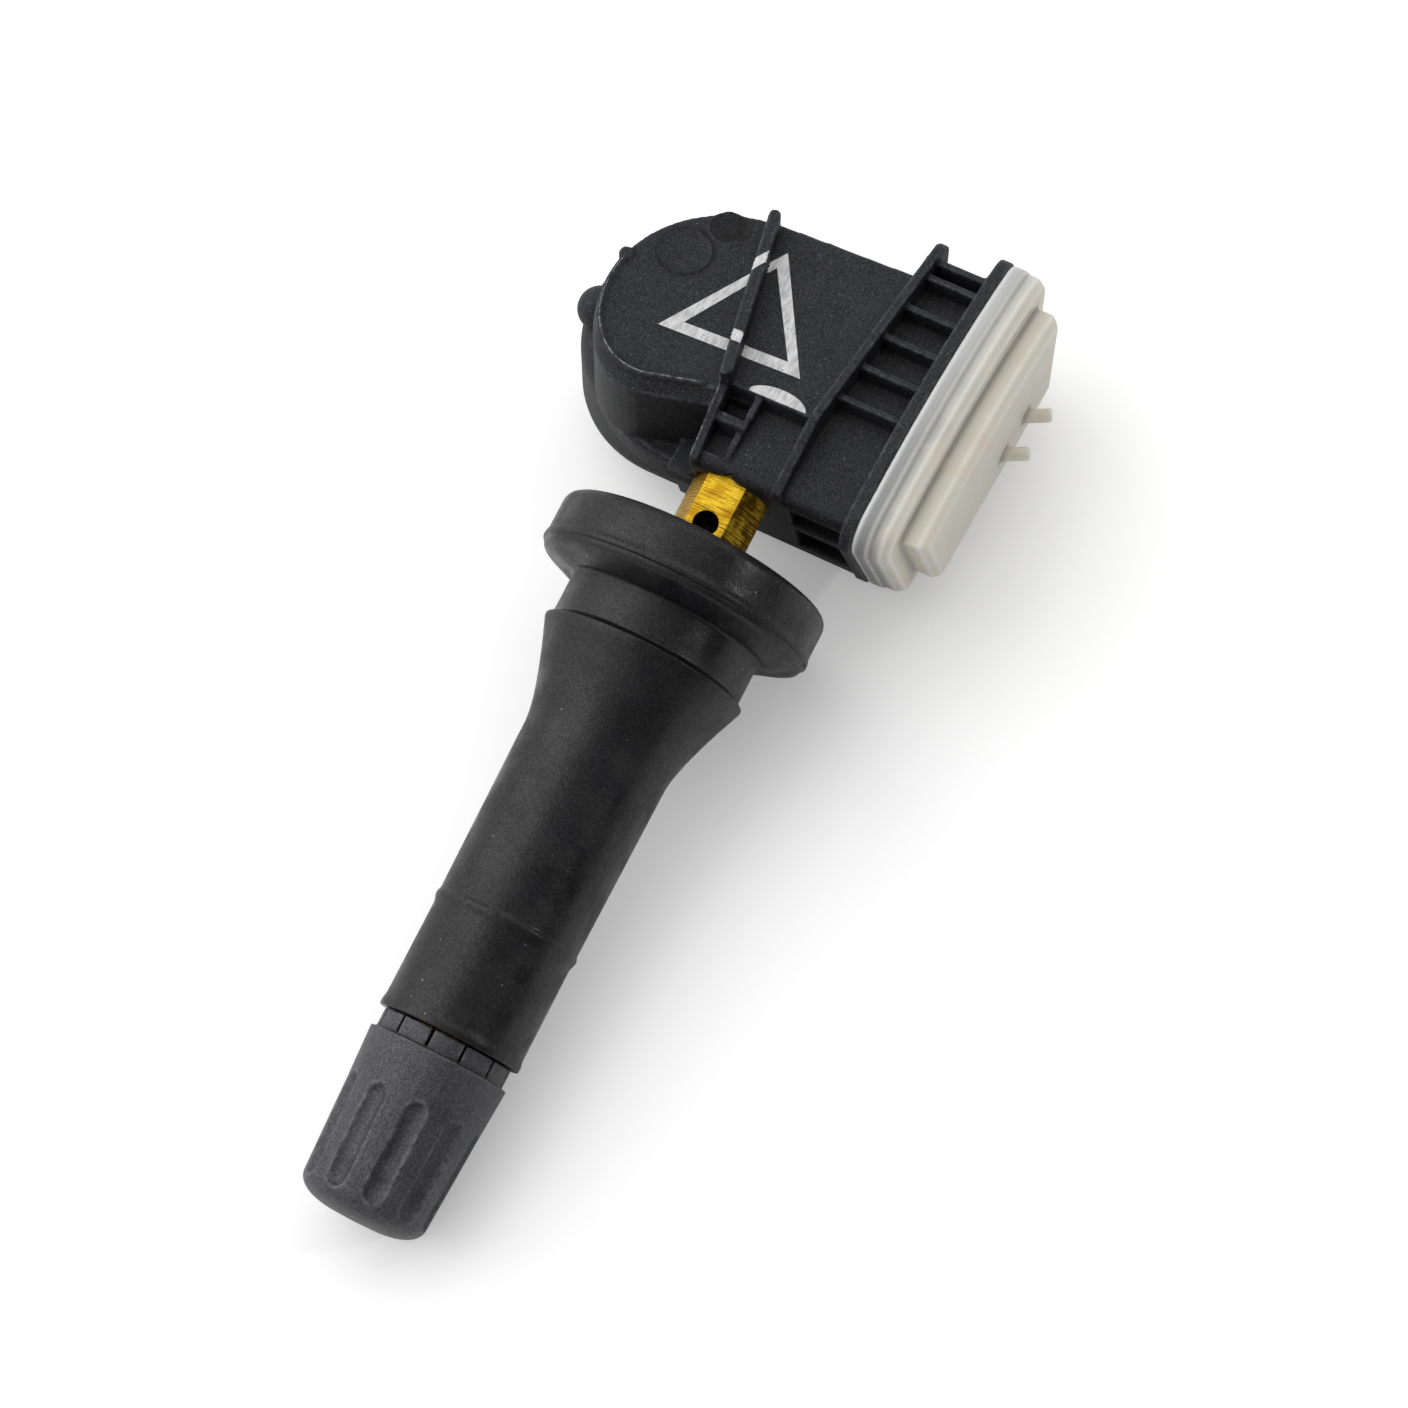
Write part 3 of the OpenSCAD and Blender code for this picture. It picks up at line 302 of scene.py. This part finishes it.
def milky_plastic(seam):
    """Milky plastic, moulded: cool grey where it is thin over the housing, warm and paler in its crown, with
    painted light towards its far end, a painted highlight along the seam and its outer edges, and painted
    shade in its inner corners.
    """
    mat, tree, shader, mm = new_material("milky_translucent_plastic")
    haze = add(tree, "TexNoise", {"Vector": mm, "Scale": 0.3, "Detail": 4, "Roughness": 0.55})
    tint = add(tree, "TexNoise", {"Vector": mm, "Scale": 0.6, "Detail": 3, "Roughness": 0.55})
    waves = add(tree, "TexNoise", {"Vector": mm, "Scale": 0.7, "Detail": 3, "Roughness": 0.55})
    grain = add(tree, "TexNoise", {"Vector": mm, "Scale": 5, "Detail": 3, "Roughness": 0.55})
    place = add(tree, "SeparateXYZ", {"Vector": mm}, None)
    out_from_seam = add(tree, "Math", {0: place.outputs["X"], 1: seam}, operation="SUBTRACT")
    from_middle = add(tree, "Math", {0: haze, 1: 0.5}, operation="SUBTRACT")
    wander = add(tree, "Math", {0: from_middle, 1: 1.2}, operation="MULTIPLY")
    depth = add(tree, "Math", {0: out_from_seam, 1: wander}, operation="ADD")
    thick = add(tree, "MapRange", {"Value": depth, "From Min": 0.9, "From Max": 2.7}, **SOFT)
    # Paler towards the far end: painted light
    painted_light_far_up = add(tree, "MapRange", {"Value": place.outputs["Y"], "From Min": 8, "From Max": 28}, **SOFT)
    # A paler line along the seam: painted highlight
    painted_seam_highlight = add(tree, "MapRange", {"Value": out_from_seam, "From Min": 0.1, "From Max": 0.5, "To Min": 0.9,
                                 "To Max": 0}, **SOFT)
    tinted = add(tree, "MapRange", {"Value": tint, "From Min": 0.5, "From Max": 0.7}, **SOFT)
    warm = add(tree, "Math", {0: tinted, 1: thick}, operation="MULTIPLY")
    colours(tree, shader, "#8b8d8c", [
        (painted_light_far_up, 1, "#bcbdba"),
        (thick, 1, "#d8d4c7"),
        (painted_seam_highlight, 1, "#dededb"),
        # Inner corners darker: painted shade
        (close_to(tree, "inner_corner"), 0.6, "#7e7c75"),
        # Outer edges paler: painted highlight
        (close_to(tree, "outer_edge"), 0.45, "#f0efe9"),
        (warm, 0.35, "#dfcab8")])
    fill(tree, shader, {
        "Subsurface Weight": 0.6,
        "Subsurface Radius": (1.0, 0.9, 0.75),
        "Subsurface Scale": 1.4 * MM,
        "IOR": 1.45,
        "Roughness": add(tree, "MapRange", {"Value": haze, "From Min": 0.3, "From Max": 0.7,
                                            "To Min": 0.34, "To Max": 0.46}, **SOFT)})
    bumps(tree, shader, [(waves, 0.06), (grain, 0.008)])
    return mat


def printed_white():
    """White pad print: thin and slightly grey, with brushed streaks, worn specks and ragged edges."""
    mat, tree, shader, mm = new_material("pad_printed_white")
    wear = add(tree, "TexNoise", {"Vector": mm, "Scale": 4, "Detail": 4, "Roughness": 0.65})
    along = add(tree, "Mapping", {"Vector": mm, "Scale": (2.5, 0.6, 1)})
    streaks = add(tree, "TexNoise", {"Vector": along, "Scale": 1.4, "Detail": 4, "Roughness": 0.65})
    grey = add(tree, "MapRange", {"Value": streaks, "From Min": 0.35, "From Max": 0.7}, **SOFT)
    colours(tree, shader, "#d6d6d6", [(grey, 1, "#a8a8aa")])
    fill(tree, shader, {
        "Roughness": 0.5,
        "Alpha": add(tree, "MapRange", {"Value": wear, "From Min": 0.27, "From Max": 0.36}, **SOFT)})
    bumps(tree, shader, [(wear, 0.006)])
    return mat


def moulding_flash():
    """The torn edge that moulding leaves on nylon: rough and light grey."""
    mat, tree, shader, mm = new_material("nylon_moulding_flash")
    torn = add(tree, "TexNoise", {"Vector": mm, "Scale": 3, "Detail": 4, "Roughness": 0.7})
    pale = add(tree, "MapRange", {"Value": torn, "From Min": 0.4, "From Max": 0.6}, **SOFT)
    colours(tree, shader, "#242528", [(pale, 1, "#7b7c81")])
    fill(tree, shader, {"Roughness": 0.6})
    bumps(tree, shader, [(torn, 0.02)])
    return mat


def plain(name, code, rough, metal=0):
    """A plain material with a little grain and cloudiness, for the pieces inside."""
    mat, tree, shader, mm = new_material(name)
    clouds = add(tree, "TexNoise", {"Vector": mm, "Scale": 0.8, "Detail": 3, "Roughness": 0.55})
    grain = add(tree, "TexNoise", {"Vector": mm, "Scale": 4, "Detail": 3, "Roughness": 0.55})
    darker = [c * 0.75 for c in paint(code)[:3]] + [1]
    fill(tree, shader, {
        "Base Color": add(tree, "Mix", {0: clouds, 6: paint(code), 7: darker}, 2, data_type="RGBA"),
        "Metallic": metal,
        "Roughness": add(tree, "MapRange", {"Value": clouds, "From Min": 0.3, "From Max": 0.7,
                                            "To Min": rough - 0.05, "To Max": rough + 0.08}, **SOFT)})
    bumps(tree, shader, [(grain, 0.005)])
    return mat


NYLON = glass_filled_nylon()
RUBBER = moulded_rubber()
CAP = scuffed_cap_plastic()
BRASS = turned_brass()
SEAM_X = min(v.co.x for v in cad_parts["housing_cover"].data.vertices) / MM + SPIGOT
MILKY = milky_plastic(SEAM_X)
PRINT = printed_white()
FLASH = moulding_flash()

INNER = {
    "core_barrel": BRASS,
    # Rubber seals: dull red, grey black and cool grey, with no shine
    "core_gasket": plain("red_gasket_rubber", "#8a2a20", 0.5),
    "core_seal": RUBBER,
    "cap_seal": plain("seal_rubber_grey_black", "#2b2b2c", 0.6),
    "port_seal": plain("grey_silicone", "#8d969d", 0.5),
    # Plated and bare metals: grey, bright and clean, the copper and bronze in their own colours
    "core_pin": plain("nickel_plated_steel", "#b8b8b2", 0.3, 1),
    "core_spring": plain("spring_steel_wire", "#8f9296", 0.32, 1),
    "fixing_screw": plain("zinc_plated_steel", "#9a9ea2", 0.34, 1),
    "coin_cell": plain("nickel_plated_cell_can", "#bfc2c4", 0.28, 1),
    "cell_tab_upper": plain("welded_nickel_tab", "#b9bbbd", 0.35, 1),
    "cell_tab_lower": plain("welded_nickel_tab_lower", "#b9bbbd", 0.35, 1),
    "crystal_can": plain("drawn_nickel_silver_can", "#c3c5c8", 0.3, 1),
    "antenna_strip": plain("tinned_bronze_strip", "#b08a4c", 0.34, 1),
    "coil_winding": plain("enamelled_copper_wire", "#a5582b", 0.35, 0.6),
    # Board, chips and ferrite: even colours with a low sheen
    "circuit_board": plain("green_glass_epoxy_board", "#1d5236", 0.4),
    "sensor_chip": plain("moulded_epoxy_chip", "#1c1d1f", 0.45),
    "coil_core": plain("sintered_ferrite", "#2d2d2f", 0.6),
    "chip_capacitors": plain("sintered_ceramic_chips", "#a5845c", 0.5),
}
for name, mat in INNER.items():
    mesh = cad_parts[name].data
    mesh.materials.clear()
    mesh.materials.append(mat)


# Shapes

def make_object(name, mesh, mat, body, slot, *nodes):
    """A finished piece: its material, the body it rides on and the CAD nodes it stands for."""
    mesh.materials.clear()
    mesh.materials.append(mat)
    for face in mesh.polygons:
        face.material_index = 0
        face.use_smooth = True
    piece = bpy.data.objects.new(name, mesh)
    bpy.context.scene.collection.objects.link(piece)
    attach(piece, body)
    if nodes:
        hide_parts(*nodes)
    return piece


def applied(mesh, kind, **settings):
    """The mesh after a modifier of that kind and with those settings."""
    holder = bpy.data.objects.new("work", mesh)
    bpy.context.scene.collection.objects.link(holder)
    modifier = holder.modifiers.new(kind, kind)
    for key, value in settings.items():
        setattr(modifier, key, value)
    done = bpy.data.meshes.new_from_object(holder.evaluated_get(bpy.context.evaluated_depsgraph_get()))
    bpy.data.objects.remove(holder)
    return done


def weld(mesh, gap):
    """Joins the points of a mesh that lie closer than the gap, in the mesh's own unit."""
    work = bmesh.new()
    work.from_mesh(mesh)
    bmesh.ops.remove_doubles(work, verts=work.verts, dist=gap)
    work.to_mesh(mesh)
    work.free()


def joined(*meshes):
    """Several meshes as one, with every face turned outwards."""
    work = bmesh.new()
    for mesh in meshes:
        work.from_mesh(mesh)
    out = bpy.data.meshes.new("joined")
    bmesh.ops.recalc_face_normals(work, faces=work.faces)
    work.to_mesh(out)
    work.free()
    return out


def skin_of(mesh):
    """The mesh as a surface to measure to."""
    return BVHTree.FromPolygons([v.co for v in mesh.vertices], [tuple(f.vertices) for f in mesh.polygons])


def sharp_places(mesh, step):
    """Trees of places along the outer edges and along the inner corners of a mesh."""
    work = bmesh.new()
    work.from_mesh(mesh)
    spots = {"outer_edge": [], "inner_corner": []}
    for edge in work.edges:
        if len(edge.link_faces) == 2 and edge.calc_face_angle(0) > math.radians(25):
            a, b = (v.co.copy() for v in edge.verts)
            count = int((b - a).length / step) + 1
            kind = "outer_edge" if edge.is_convex else "inner_corner"
            spots[kind] += [a.lerp(b, i / count) for i in range(count + 1)]
    work.free()
    trees = {}
    for kind, places in spots.items():
        trees[kind] = KDTree(len(places))
        for i, place in enumerate(places):
            trees[kind].insert(place, i)
        trees[kind].balance()
    return trees


# How far the wear and painted highlight reach from an outer edge, and the painted shade from an inner corner
REACH = {"outer_edge": 0.3, "inner_corner": 0.5}


def soften(node, cell, rounds, most):
    """The CAD node's shape with moulded edges: remeshed in cells of that many millimetres and smoothed."""
    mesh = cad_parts[node].data.copy()
    mesh.transform(Matrix.Scale(1 / MM, 4))
    weld(mesh, 0.0005)
    cell = cell * 1
    surface = skin_of(mesh)
    sharp = sharp_places(mesh, cell)
    mesh = applied(mesh, "REMESH", mode="VOXEL", voxel_size=cell)
    # Away from sharp edges the remeshed points go back on the CAD surface
    for v in mesh.vertices:
        if min(tree.find(v.co)[2] for tree in sharp.values()) > cell * 1.3:
            v.co = surface.find_nearest(v.co)[0]
    mesh = applied(mesh, "SMOOTH", factor=0.5, iterations=rounds)
    triangles = 2 * len(mesh.polygons)
    if triangles > most:
        mesh = applied(mesh, "DECIMATE", ratio=most / triangles)
    for kind, tree in sharp.items():
        mark = mesh.attributes.new(kind, "FLOAT", "POINT")
        closeness = [max(0.0, 1 - tree.find(v.co)[2] / REACH[kind]) for v in mesh.vertices]
        mark.data.foreach_set("value", closeness)
    mesh.transform(Matrix.Scale(MM, 4))
    return mesh


def turned_ring(radii, y):
    """A ring of points in metres round the valve's axis, with a radius for each."""
    points = []
    for k, r in enumerate(radii):
        a = 2 * math.pi * k / len(radii)
        points.append((r * math.sin(a) * MM, y * MM, r * math.cos(a) * MM))
    return points


def shell(rings, closed):
    """A mesh over rings of equally many points, whose last ring joins the first one if it is closed."""
    count, sides = len(rings), len(rings[0])
    faces = []
    for i in range(count if closed else count - 1):
        n = (i + 1) % count
        for k in range(sides):
            m = (k + 1) % sides
            faces.append((i * sides + k, i * sides + m, n * sides + m, n * sides + k))
    mesh = bpy.data.meshes.new("shell")
    mesh.from_pydata([point for ring in rings for point in ring], [], faces)
    return mesh


def pulled_curve(a, b, c, count):
    """Points on the smooth curve from a to c that is pulled towards b."""
    out = []
    for i in range(count + 1):
        t = i / count
        out.append(Vector(a) * (1 - t) ** 2 + Vector(b) * 2 * t * (1 - t) + Vector(c) * t * t)
    return out


def line(a, b, count):
    """Points at even steps from a to b."""
    return [tuple(Vector(a).lerp(Vector(b), i / count)) for i in range(count + 1)]


def rounded(points):
    """A profile of (radius, place, rounding) with each rounded corner as a short arc."""
    out = []
    for i, (r, y, fillet) in enumerate(points):
        if not fillet or i in (0, len(points) - 1):
            out.append((r, y))
            continue
        here = Vector((r, y))
        back = Vector(points[i - 1][:2]) - here
        on = Vector(points[i + 1][:2]) - here
        cut = min(fillet, back.length * 0.45, on.length * 0.45)
        arc = pulled_curve(here + back.normalized() * cut, here, here + on.normalized() * cut, 6)
        out += [tuple(p) for p in arc]
    return out


def rubber_profile():
    """The rubber's outline: stem, step ring, snap lip, neck groove and flange."""
    out = [(3.02, -31.8, 0), (5.04, -31.8, 0.12), (5.05, -31.4, 0.15), (4.95, -31.0, 0.2), (4.95, -24.3, 0.2)]
    out += [(5.11, -23.82, 0.06), (5.11, -23.58, 0.06), (5.0, -23.3, 0.1)]
    out += [(p.x, p.y, 0) for p in pulled_curve((5.15, -11.0), (5.25, -8.93), (7.24, -4.1), 24)]
    out += [(7.25, -3.93, 0.06), (7.05, -3.8, 0.1), (6.86, -3.62, 0.1), (6.86, -0.85, 0.14), (7.06, -0.7, 0)]
    out += [(7.5, -0.7, 0.15), (9.22, 0, 0.1), (9.48, 0.15, 0.1), (9.58, 0.35, 0.1), (9.58, 0.55, 0.04)]
    out += [(9.79, 0.62, 0.05), (9.79, 0.86, 0.06), (9.68, 1.2, 0.2), (9.68, 4.0, 0.8), (3.02, 4.0, 0)]
    return rounded(out)


rubber_rings = [turned_ring([r] * 192, y) for r, y in rubber_profile()]
make_object("valve_rubber_moulding", joined(shell(rubber_rings, True)), RUBBER,
            "valve_and_housing", "black_rubber", "valve_rubber")
housing = make_object("sensor_housing_moulding", soften("sensor_housing", 0.11, 5, 190000), NYLON,
                      "valve_and_housing", "housing_plastic", "sensor_housing")
make_object("housing_cover_moulding", soften("housing_cover", 0.12, 5, 150000), MILKY,
            "valve_and_housing", "milky_plastic", "housing_cover")
make_object("dust_cap_moulding", soften("dust_cap", 0.07, 4, 190000), CAP,
            "cap", "cap_plastic", "dust_cap")


def threaded_stem():
    """The brass stem: its thread, its shaft and its bore."""
    sides, step = 72, 0.06
    start, end = THREAD_ENDS
    rings = []
    y = start
    while y < end:
        radii = []
        for k in range(sides):
            phase = ((y / THREAD_PITCH) - k / sides) % 1.0
            crest = min(1.0, max(0.0, 2.6 * (0.5 - abs(phase - 0.5)) - 0.15))
            lead_in = min(1.0, (y - start) / THREAD_LEAD)
            radii.append(min(THREAD_ROOT + (THREAD_OUTER - THREAD_ROOT) * crest,
                             3.3 + (THREAD_OUTER - 3.3) * lead_in))
        rings.append(turned_ring(radii, y))
        y += step
    # Shaft in the rubber, then back up the bore
    for r, y in ((3.0, -31.85), (3.0, 3.99), (1.4, 3.99), (1.4, -24.3), (2.05, -25.3), (2.05, -31.4),
                 (2.4, -32.8), (2.4, -40.8), (2.6, -41.0)):
        rings.append(turned_ring([r] * sides, y))
    return shell(rings, True)


def hexagon():
    """The plain brass hexagon between flange and housing, with its broken edges."""
    work = bmesh.new()
    corner = HEX_ACROSS / 2 / math.cos(math.radians(30))
    rings = []
    for y in HEX_ENDS:
        turns = [math.radians(30 + 60 * k) for k in range(6)]
        rings.append([work.verts.new((corner * math.sin(a), y, corner * math.cos(a))) for a in turns])
    for k in range(6):
        m = (k + 1) % 6
        work.faces.new((rings[0][k], rings[0][m], rings[1][m], rings[1][k]))
    work.faces.new(rings[0])
    work.faces.new(rings[1])
    bmesh.ops.recalc_face_normals(work, faces=work.faces)
    bmesh.ops.bevel(work, geom=list(work.edges), offset=HEX_EDGE, segments=2, affect="EDGES", profile=0.6)
    mesh = bpy.data.meshes.new("hexagon")
    work.to_mesh(mesh)
    work.free()
    return mesh


def cross_hole():
    """The drill for the cross hole, narrower below so that no floor shows through it, with its two sinks."""
    drill = bmesh.new()
    bmesh.ops.create_cone(drill, cap_ends=True, segments=48, radius1=HOLE_D * 0.2, radius2=HOLE_D / 2,
                          depth=HEX_ACROSS + 0.1)
    bmesh.ops.translate(drill, verts=drill.verts, vec=(0, HOLE_Y, 0))
    for side in (1, -1):
        sink = bmesh.ops.create_cone(drill, cap_ends=True, segments=48, radius1=0.6, radius2=1.0, depth=0.4)
        turn = Matrix.Rotation(0 if side > 0 else math.pi, 4, "X")
        bmesh.ops.transform(drill, matrix=turn, verts=sink["verts"])
        bmesh.ops.translate(drill, verts=sink["verts"], vec=(0, HOLE_Y, (HEX_ACROSS / 2 - 0.08) * side))
    mesh = bpy.data.meshes.new("drill")
    drill.to_mesh(mesh)
    drill.free()
    return mesh


def hexagonal_end():
    """The brass hexagon with its cross hole."""
    tool = bpy.data.objects.new("drill", cross_hole())
    bpy.context.scene.collection.objects.link(tool)
    mesh = applied(hexagon(), "BOOLEAN", object=tool, operation="DIFFERENCE", solver="EXACT", use_self=True)
    bpy.data.objects.remove(tool)
    mesh.transform(Matrix.Scale(MM, 4))
    return mesh


stem = make_object("valve_stem_turned", joined(threaded_stem(), hexagonal_end()), BRASS,
                   "valve_and_housing", "brass", "valve_stem")
stem.data.set_sharp_from_angle(angle=math.radians(35))


# Paint and flash on the housing

HOUSING_SKIN = skin_of(housing.data)
DOWN = Vector((0, -math.sin(TILT), -math.cos(TILT)))


def on_housing(x, y):
    """The point of the housing's skin under a place of its own frame, or None beside it."""
    return HOUSING_SKIN.ray_cast(on_face(x, y, DROP_FROM), DOWN)[0]


def printed(name, strips):
    """A thin pad print laid on the housing from above, from strips between two rows of points."""
    points, faces = [], []
    for low, high in strips:
        rows = []
        for step in range(PAINT_ROWS + 1):
            row = []
            for a, b in zip(low, high):
                x, y = (Vector(a) * (PAINT_ROWS - step) + Vector(b) * step) / PAINT_ROWS
                place = on_housing(x, y)
                row.append(place - DOWN * PAINT_LIFT * MM if place else None)
            rows.append(row)
        for i in range(PAINT_ROWS):
            for k in range(len(low) - 1):
                corners = [rows[i][k], rows[i][k + 1], rows[i + 1][k + 1], rows[i + 1][k]]
                if None in corners:
                    continue
                depths = [c.dot(DOWN) for c in corners]
                if max(depths) - min(depths) > PAINT_STEP * MM:
                    continue
                faces.append(tuple(range(len(points), len(points) + 4)))
                points += corners
    mesh = bpy.data.meshes.new(name)
    mesh.from_pydata(points, [], faces)
    weld(mesh, 0.002 * MM)
    make_object(name, mesh, PRINT, "valve_and_housing", "housing_plastic")


outer = [(-8.73, 14.81), (-3.71, 24.02), (1.63, 15.32)]
inner = [(-7.28, 15.76), (-3.8, 22.57), (0.31, 16.15)]
sides = []
for i in range(3):
    n = (i + 1) % 3
    sides.append((line(outer[i], outer[n], 90), line(inner[i], inner[n], 90)))
printed("printed_triangle", sides)
moon_low = line((-0.95, 12.97), (3.15, 13.05), 40)
moon_high = [(x, y + 0.98 * max(0.0, 1 - abs((x - 1.05) / 2.12) ** 2.2) ** 0.6) for x, y in moon_low]
printed("printed_half_moon", [(moon_low, moon_high)])


def flash_line(name, points, radius):
    """A fine uneven ridge of flash along places of the housing's frame, dropped on it without a height."""
    sides = 6
    path = [on_housing(*p) if len(p) == 2 else on_face(*p) for p in points]
    path = [p for p in path if p]
    rings = []
    for i, p in enumerate(path):
        on = (path[min(i + 1, len(path) - 1)] - path[max(i - 1, 0)]).normalized()
        beside = on.cross(-DOWN).normalized()
        width = radius * MM * random.uniform(0.45, 1.3) * (0.2 if i in (0, len(path) - 1) else 1)
        turns = [2 * math.pi * k / sides for k in range(sides)]
        rings.append([p + (beside * math.cos(a) - DOWN * math.sin(a)) * width for a in turns])
    make_object(name, shell(rings, False), FLASH, "valve_and_housing", "housing_plastic")


# The bead round the marked face: an arc round the drum, a bend, and a straight run to the wall
BEAD_TOP = FACE + 0.13
bead = [(-5.1 - 8.3 * math.cos(math.radians(a)), 17.28 + 8.3 * math.sin(math.radians(a)), BEAD_TOP)
        for a in range(10, -26, -2)]
bead += [(p.x, p.y, BEAD_TOP) for p in pulled_curve((-12.62, 13.77), (-10.8, 10.5), (-7.75, 10.9), 24)]
bead += [(x, y, BEAD_TOP) for x, y in line((-7.6, 10.94), (-3.9, 12.02), 24)]
flash_line("bead_flash", bead, FLASH_RADIUS)
flash_line("front_wall_flash", line((-2.82, 8.25), (-2.82, 12.6), 40), FLASH_RADIUS)


# Floor, light and camera, with places in metres

def lay_floor():
    """A plain pale floor under the part, lifted a little for the camera so that it meets the white behind."""
    normal = Vector((0, 0.1235, 0.9923)).normalized()
    under = Vector((0, 0.0012, -0.00985))
    across = Vector((1, 0, 0))
    along = normal.cross(across).normalized()
    half = 1.2
    mesh = bpy.data.meshes.new("floor")
    corners = [under + across * a * half + along * b * half for a, b in ((-1, -1), (1, -1), (1, 1), (-1, 1))]
    mesh.from_pydata(corners, [], [(0, 1, 2, 3)])
    floor = bpy.data.objects.new("floor", mesh)
    bpy.context.scene.collection.objects.link(floor)
    mat = bpy.data.materials.new("pale_studio_floor")
    mat.use_nodes = True
    tree = mat.node_tree
    tree.nodes.clear()
    seen = add(tree, "LightPath", take="Is Camera Ray")
    lift = add(tree, "Math", {0: seen, 1: 0.22}, operation="MULTIPLY")
    card = add(tree, "BsdfDiffuse", {"Color": paint("#f4f4f4")})
    glow = add(tree, "Emission", {"Color": (1, 1, 1, 1), "Strength": lift})
    both = add(tree, "AddShader", {0: card, 1: glow})
    add(tree, "OutputMaterial", {"Surface": both}, None)
    mesh.materials.append(mat)


def light_room():
    """A room that is brighter towards the window at the left, and white where the camera sees it."""
    world = bpy.data.worlds.new("studio")
    bpy.context.scene.world = world
    world.use_nodes = True
    tree = world.node_tree
    tree.nodes.clear()
    way = add(tree, "TexCoord", take="Generated")
    window_way = Vector((-0.83, -0.13, 0.54)).normalized()
    towards = add(tree, "VectorMath", {0: way, 1: window_way}, "Value", operation="DOT_PRODUCT")
    walls = add(tree, "MapRange", {"Value": towards, "From Min": -0.7, "From Max": 0.1, "To Min": 0.12,
                                   "To Max": 0.32}, **SOFT)
    window = add(tree, "MapRange", {"Value": towards, "From Min": 0.3, "From Max": 0.85, "To Min": 0,
                                    "To Max": 0.9}, **SOFT)
    room = add(tree, "Math", {0: walls, 1: window}, operation="ADD")
    path = add(tree, "LightPath", take=None)
    straight = add(tree, "Math", {0: path.outputs["Is Camera Ray"], 1: path.outputs["Is Transmission Ray"]},
                   operation="MAXIMUM")
    level = add(tree, "Math", {0: room, 1: straight}, operation="MAXIMUM")
    sky = add(tree, "Background", {"Color": (1, 1, 1, 1), "Strength": level})
    add(tree, "OutputWorld", {"Surface": sky}, None)


def hang_lamp(name, place, width, power):
    """A square soft lamp that faces the part."""
    light = bpy.data.lights.new(name, "AREA")
    light.shape = "SQUARE"
    light.size = width
    light.energy = power
    holder = bpy.data.objects.new(name, light)
    bpy.context.scene.collection.objects.link(holder)
    holder.location = place
    holder.rotation_mode = "QUATERNION"
    middle = Vector((0, -0.01, 0))
    holder.rotation_quaternion = (middle - Vector(place)).to_track_quat("-Z", "Y")


def place_camera():
    """The camera at the photograph's place and angle."""
    data = bpy.data.cameras.new("camera")
    camera = bpy.data.objects.new("camera", data)
    bpy.context.scene.collection.objects.link(camera)
    data.sensor_width = SENSOR
    data.lens = PHOTO_FOCAL / PHOTO_WIDTH * SENSOR
    data.clip_start = 0.01
    data.clip_end = 10
    right = Vector((0.88500, 0.44951, -0.12130))
    up = Vector((-0.41089, 0.87655, 0.25059))
    back = Vector((0.21897, -0.17193, 0.96044))
    turn = Matrix((right, up, back)).transposed().to_4x4()
    camera.matrix_world = Matrix.Translation(Vector((0.054445, -0.043582, 0.217069))) @ turn
    bpy.context.scene.camera = camera


lay_floor()
light_room()
hang_lamp("key_lamp", (-0.42, 0.02, 0.42), 0.60, 1.15)
hang_lamp("top_lamp", (0.02, 0.45, 0.45), 0.60, 1.15)
hang_lamp("glint_lamp", (0.39, 0.18, 0.25), 0.03, 0.28)
place_camera()
bpy.context.scene.view_settings.view_transform = "Standard"
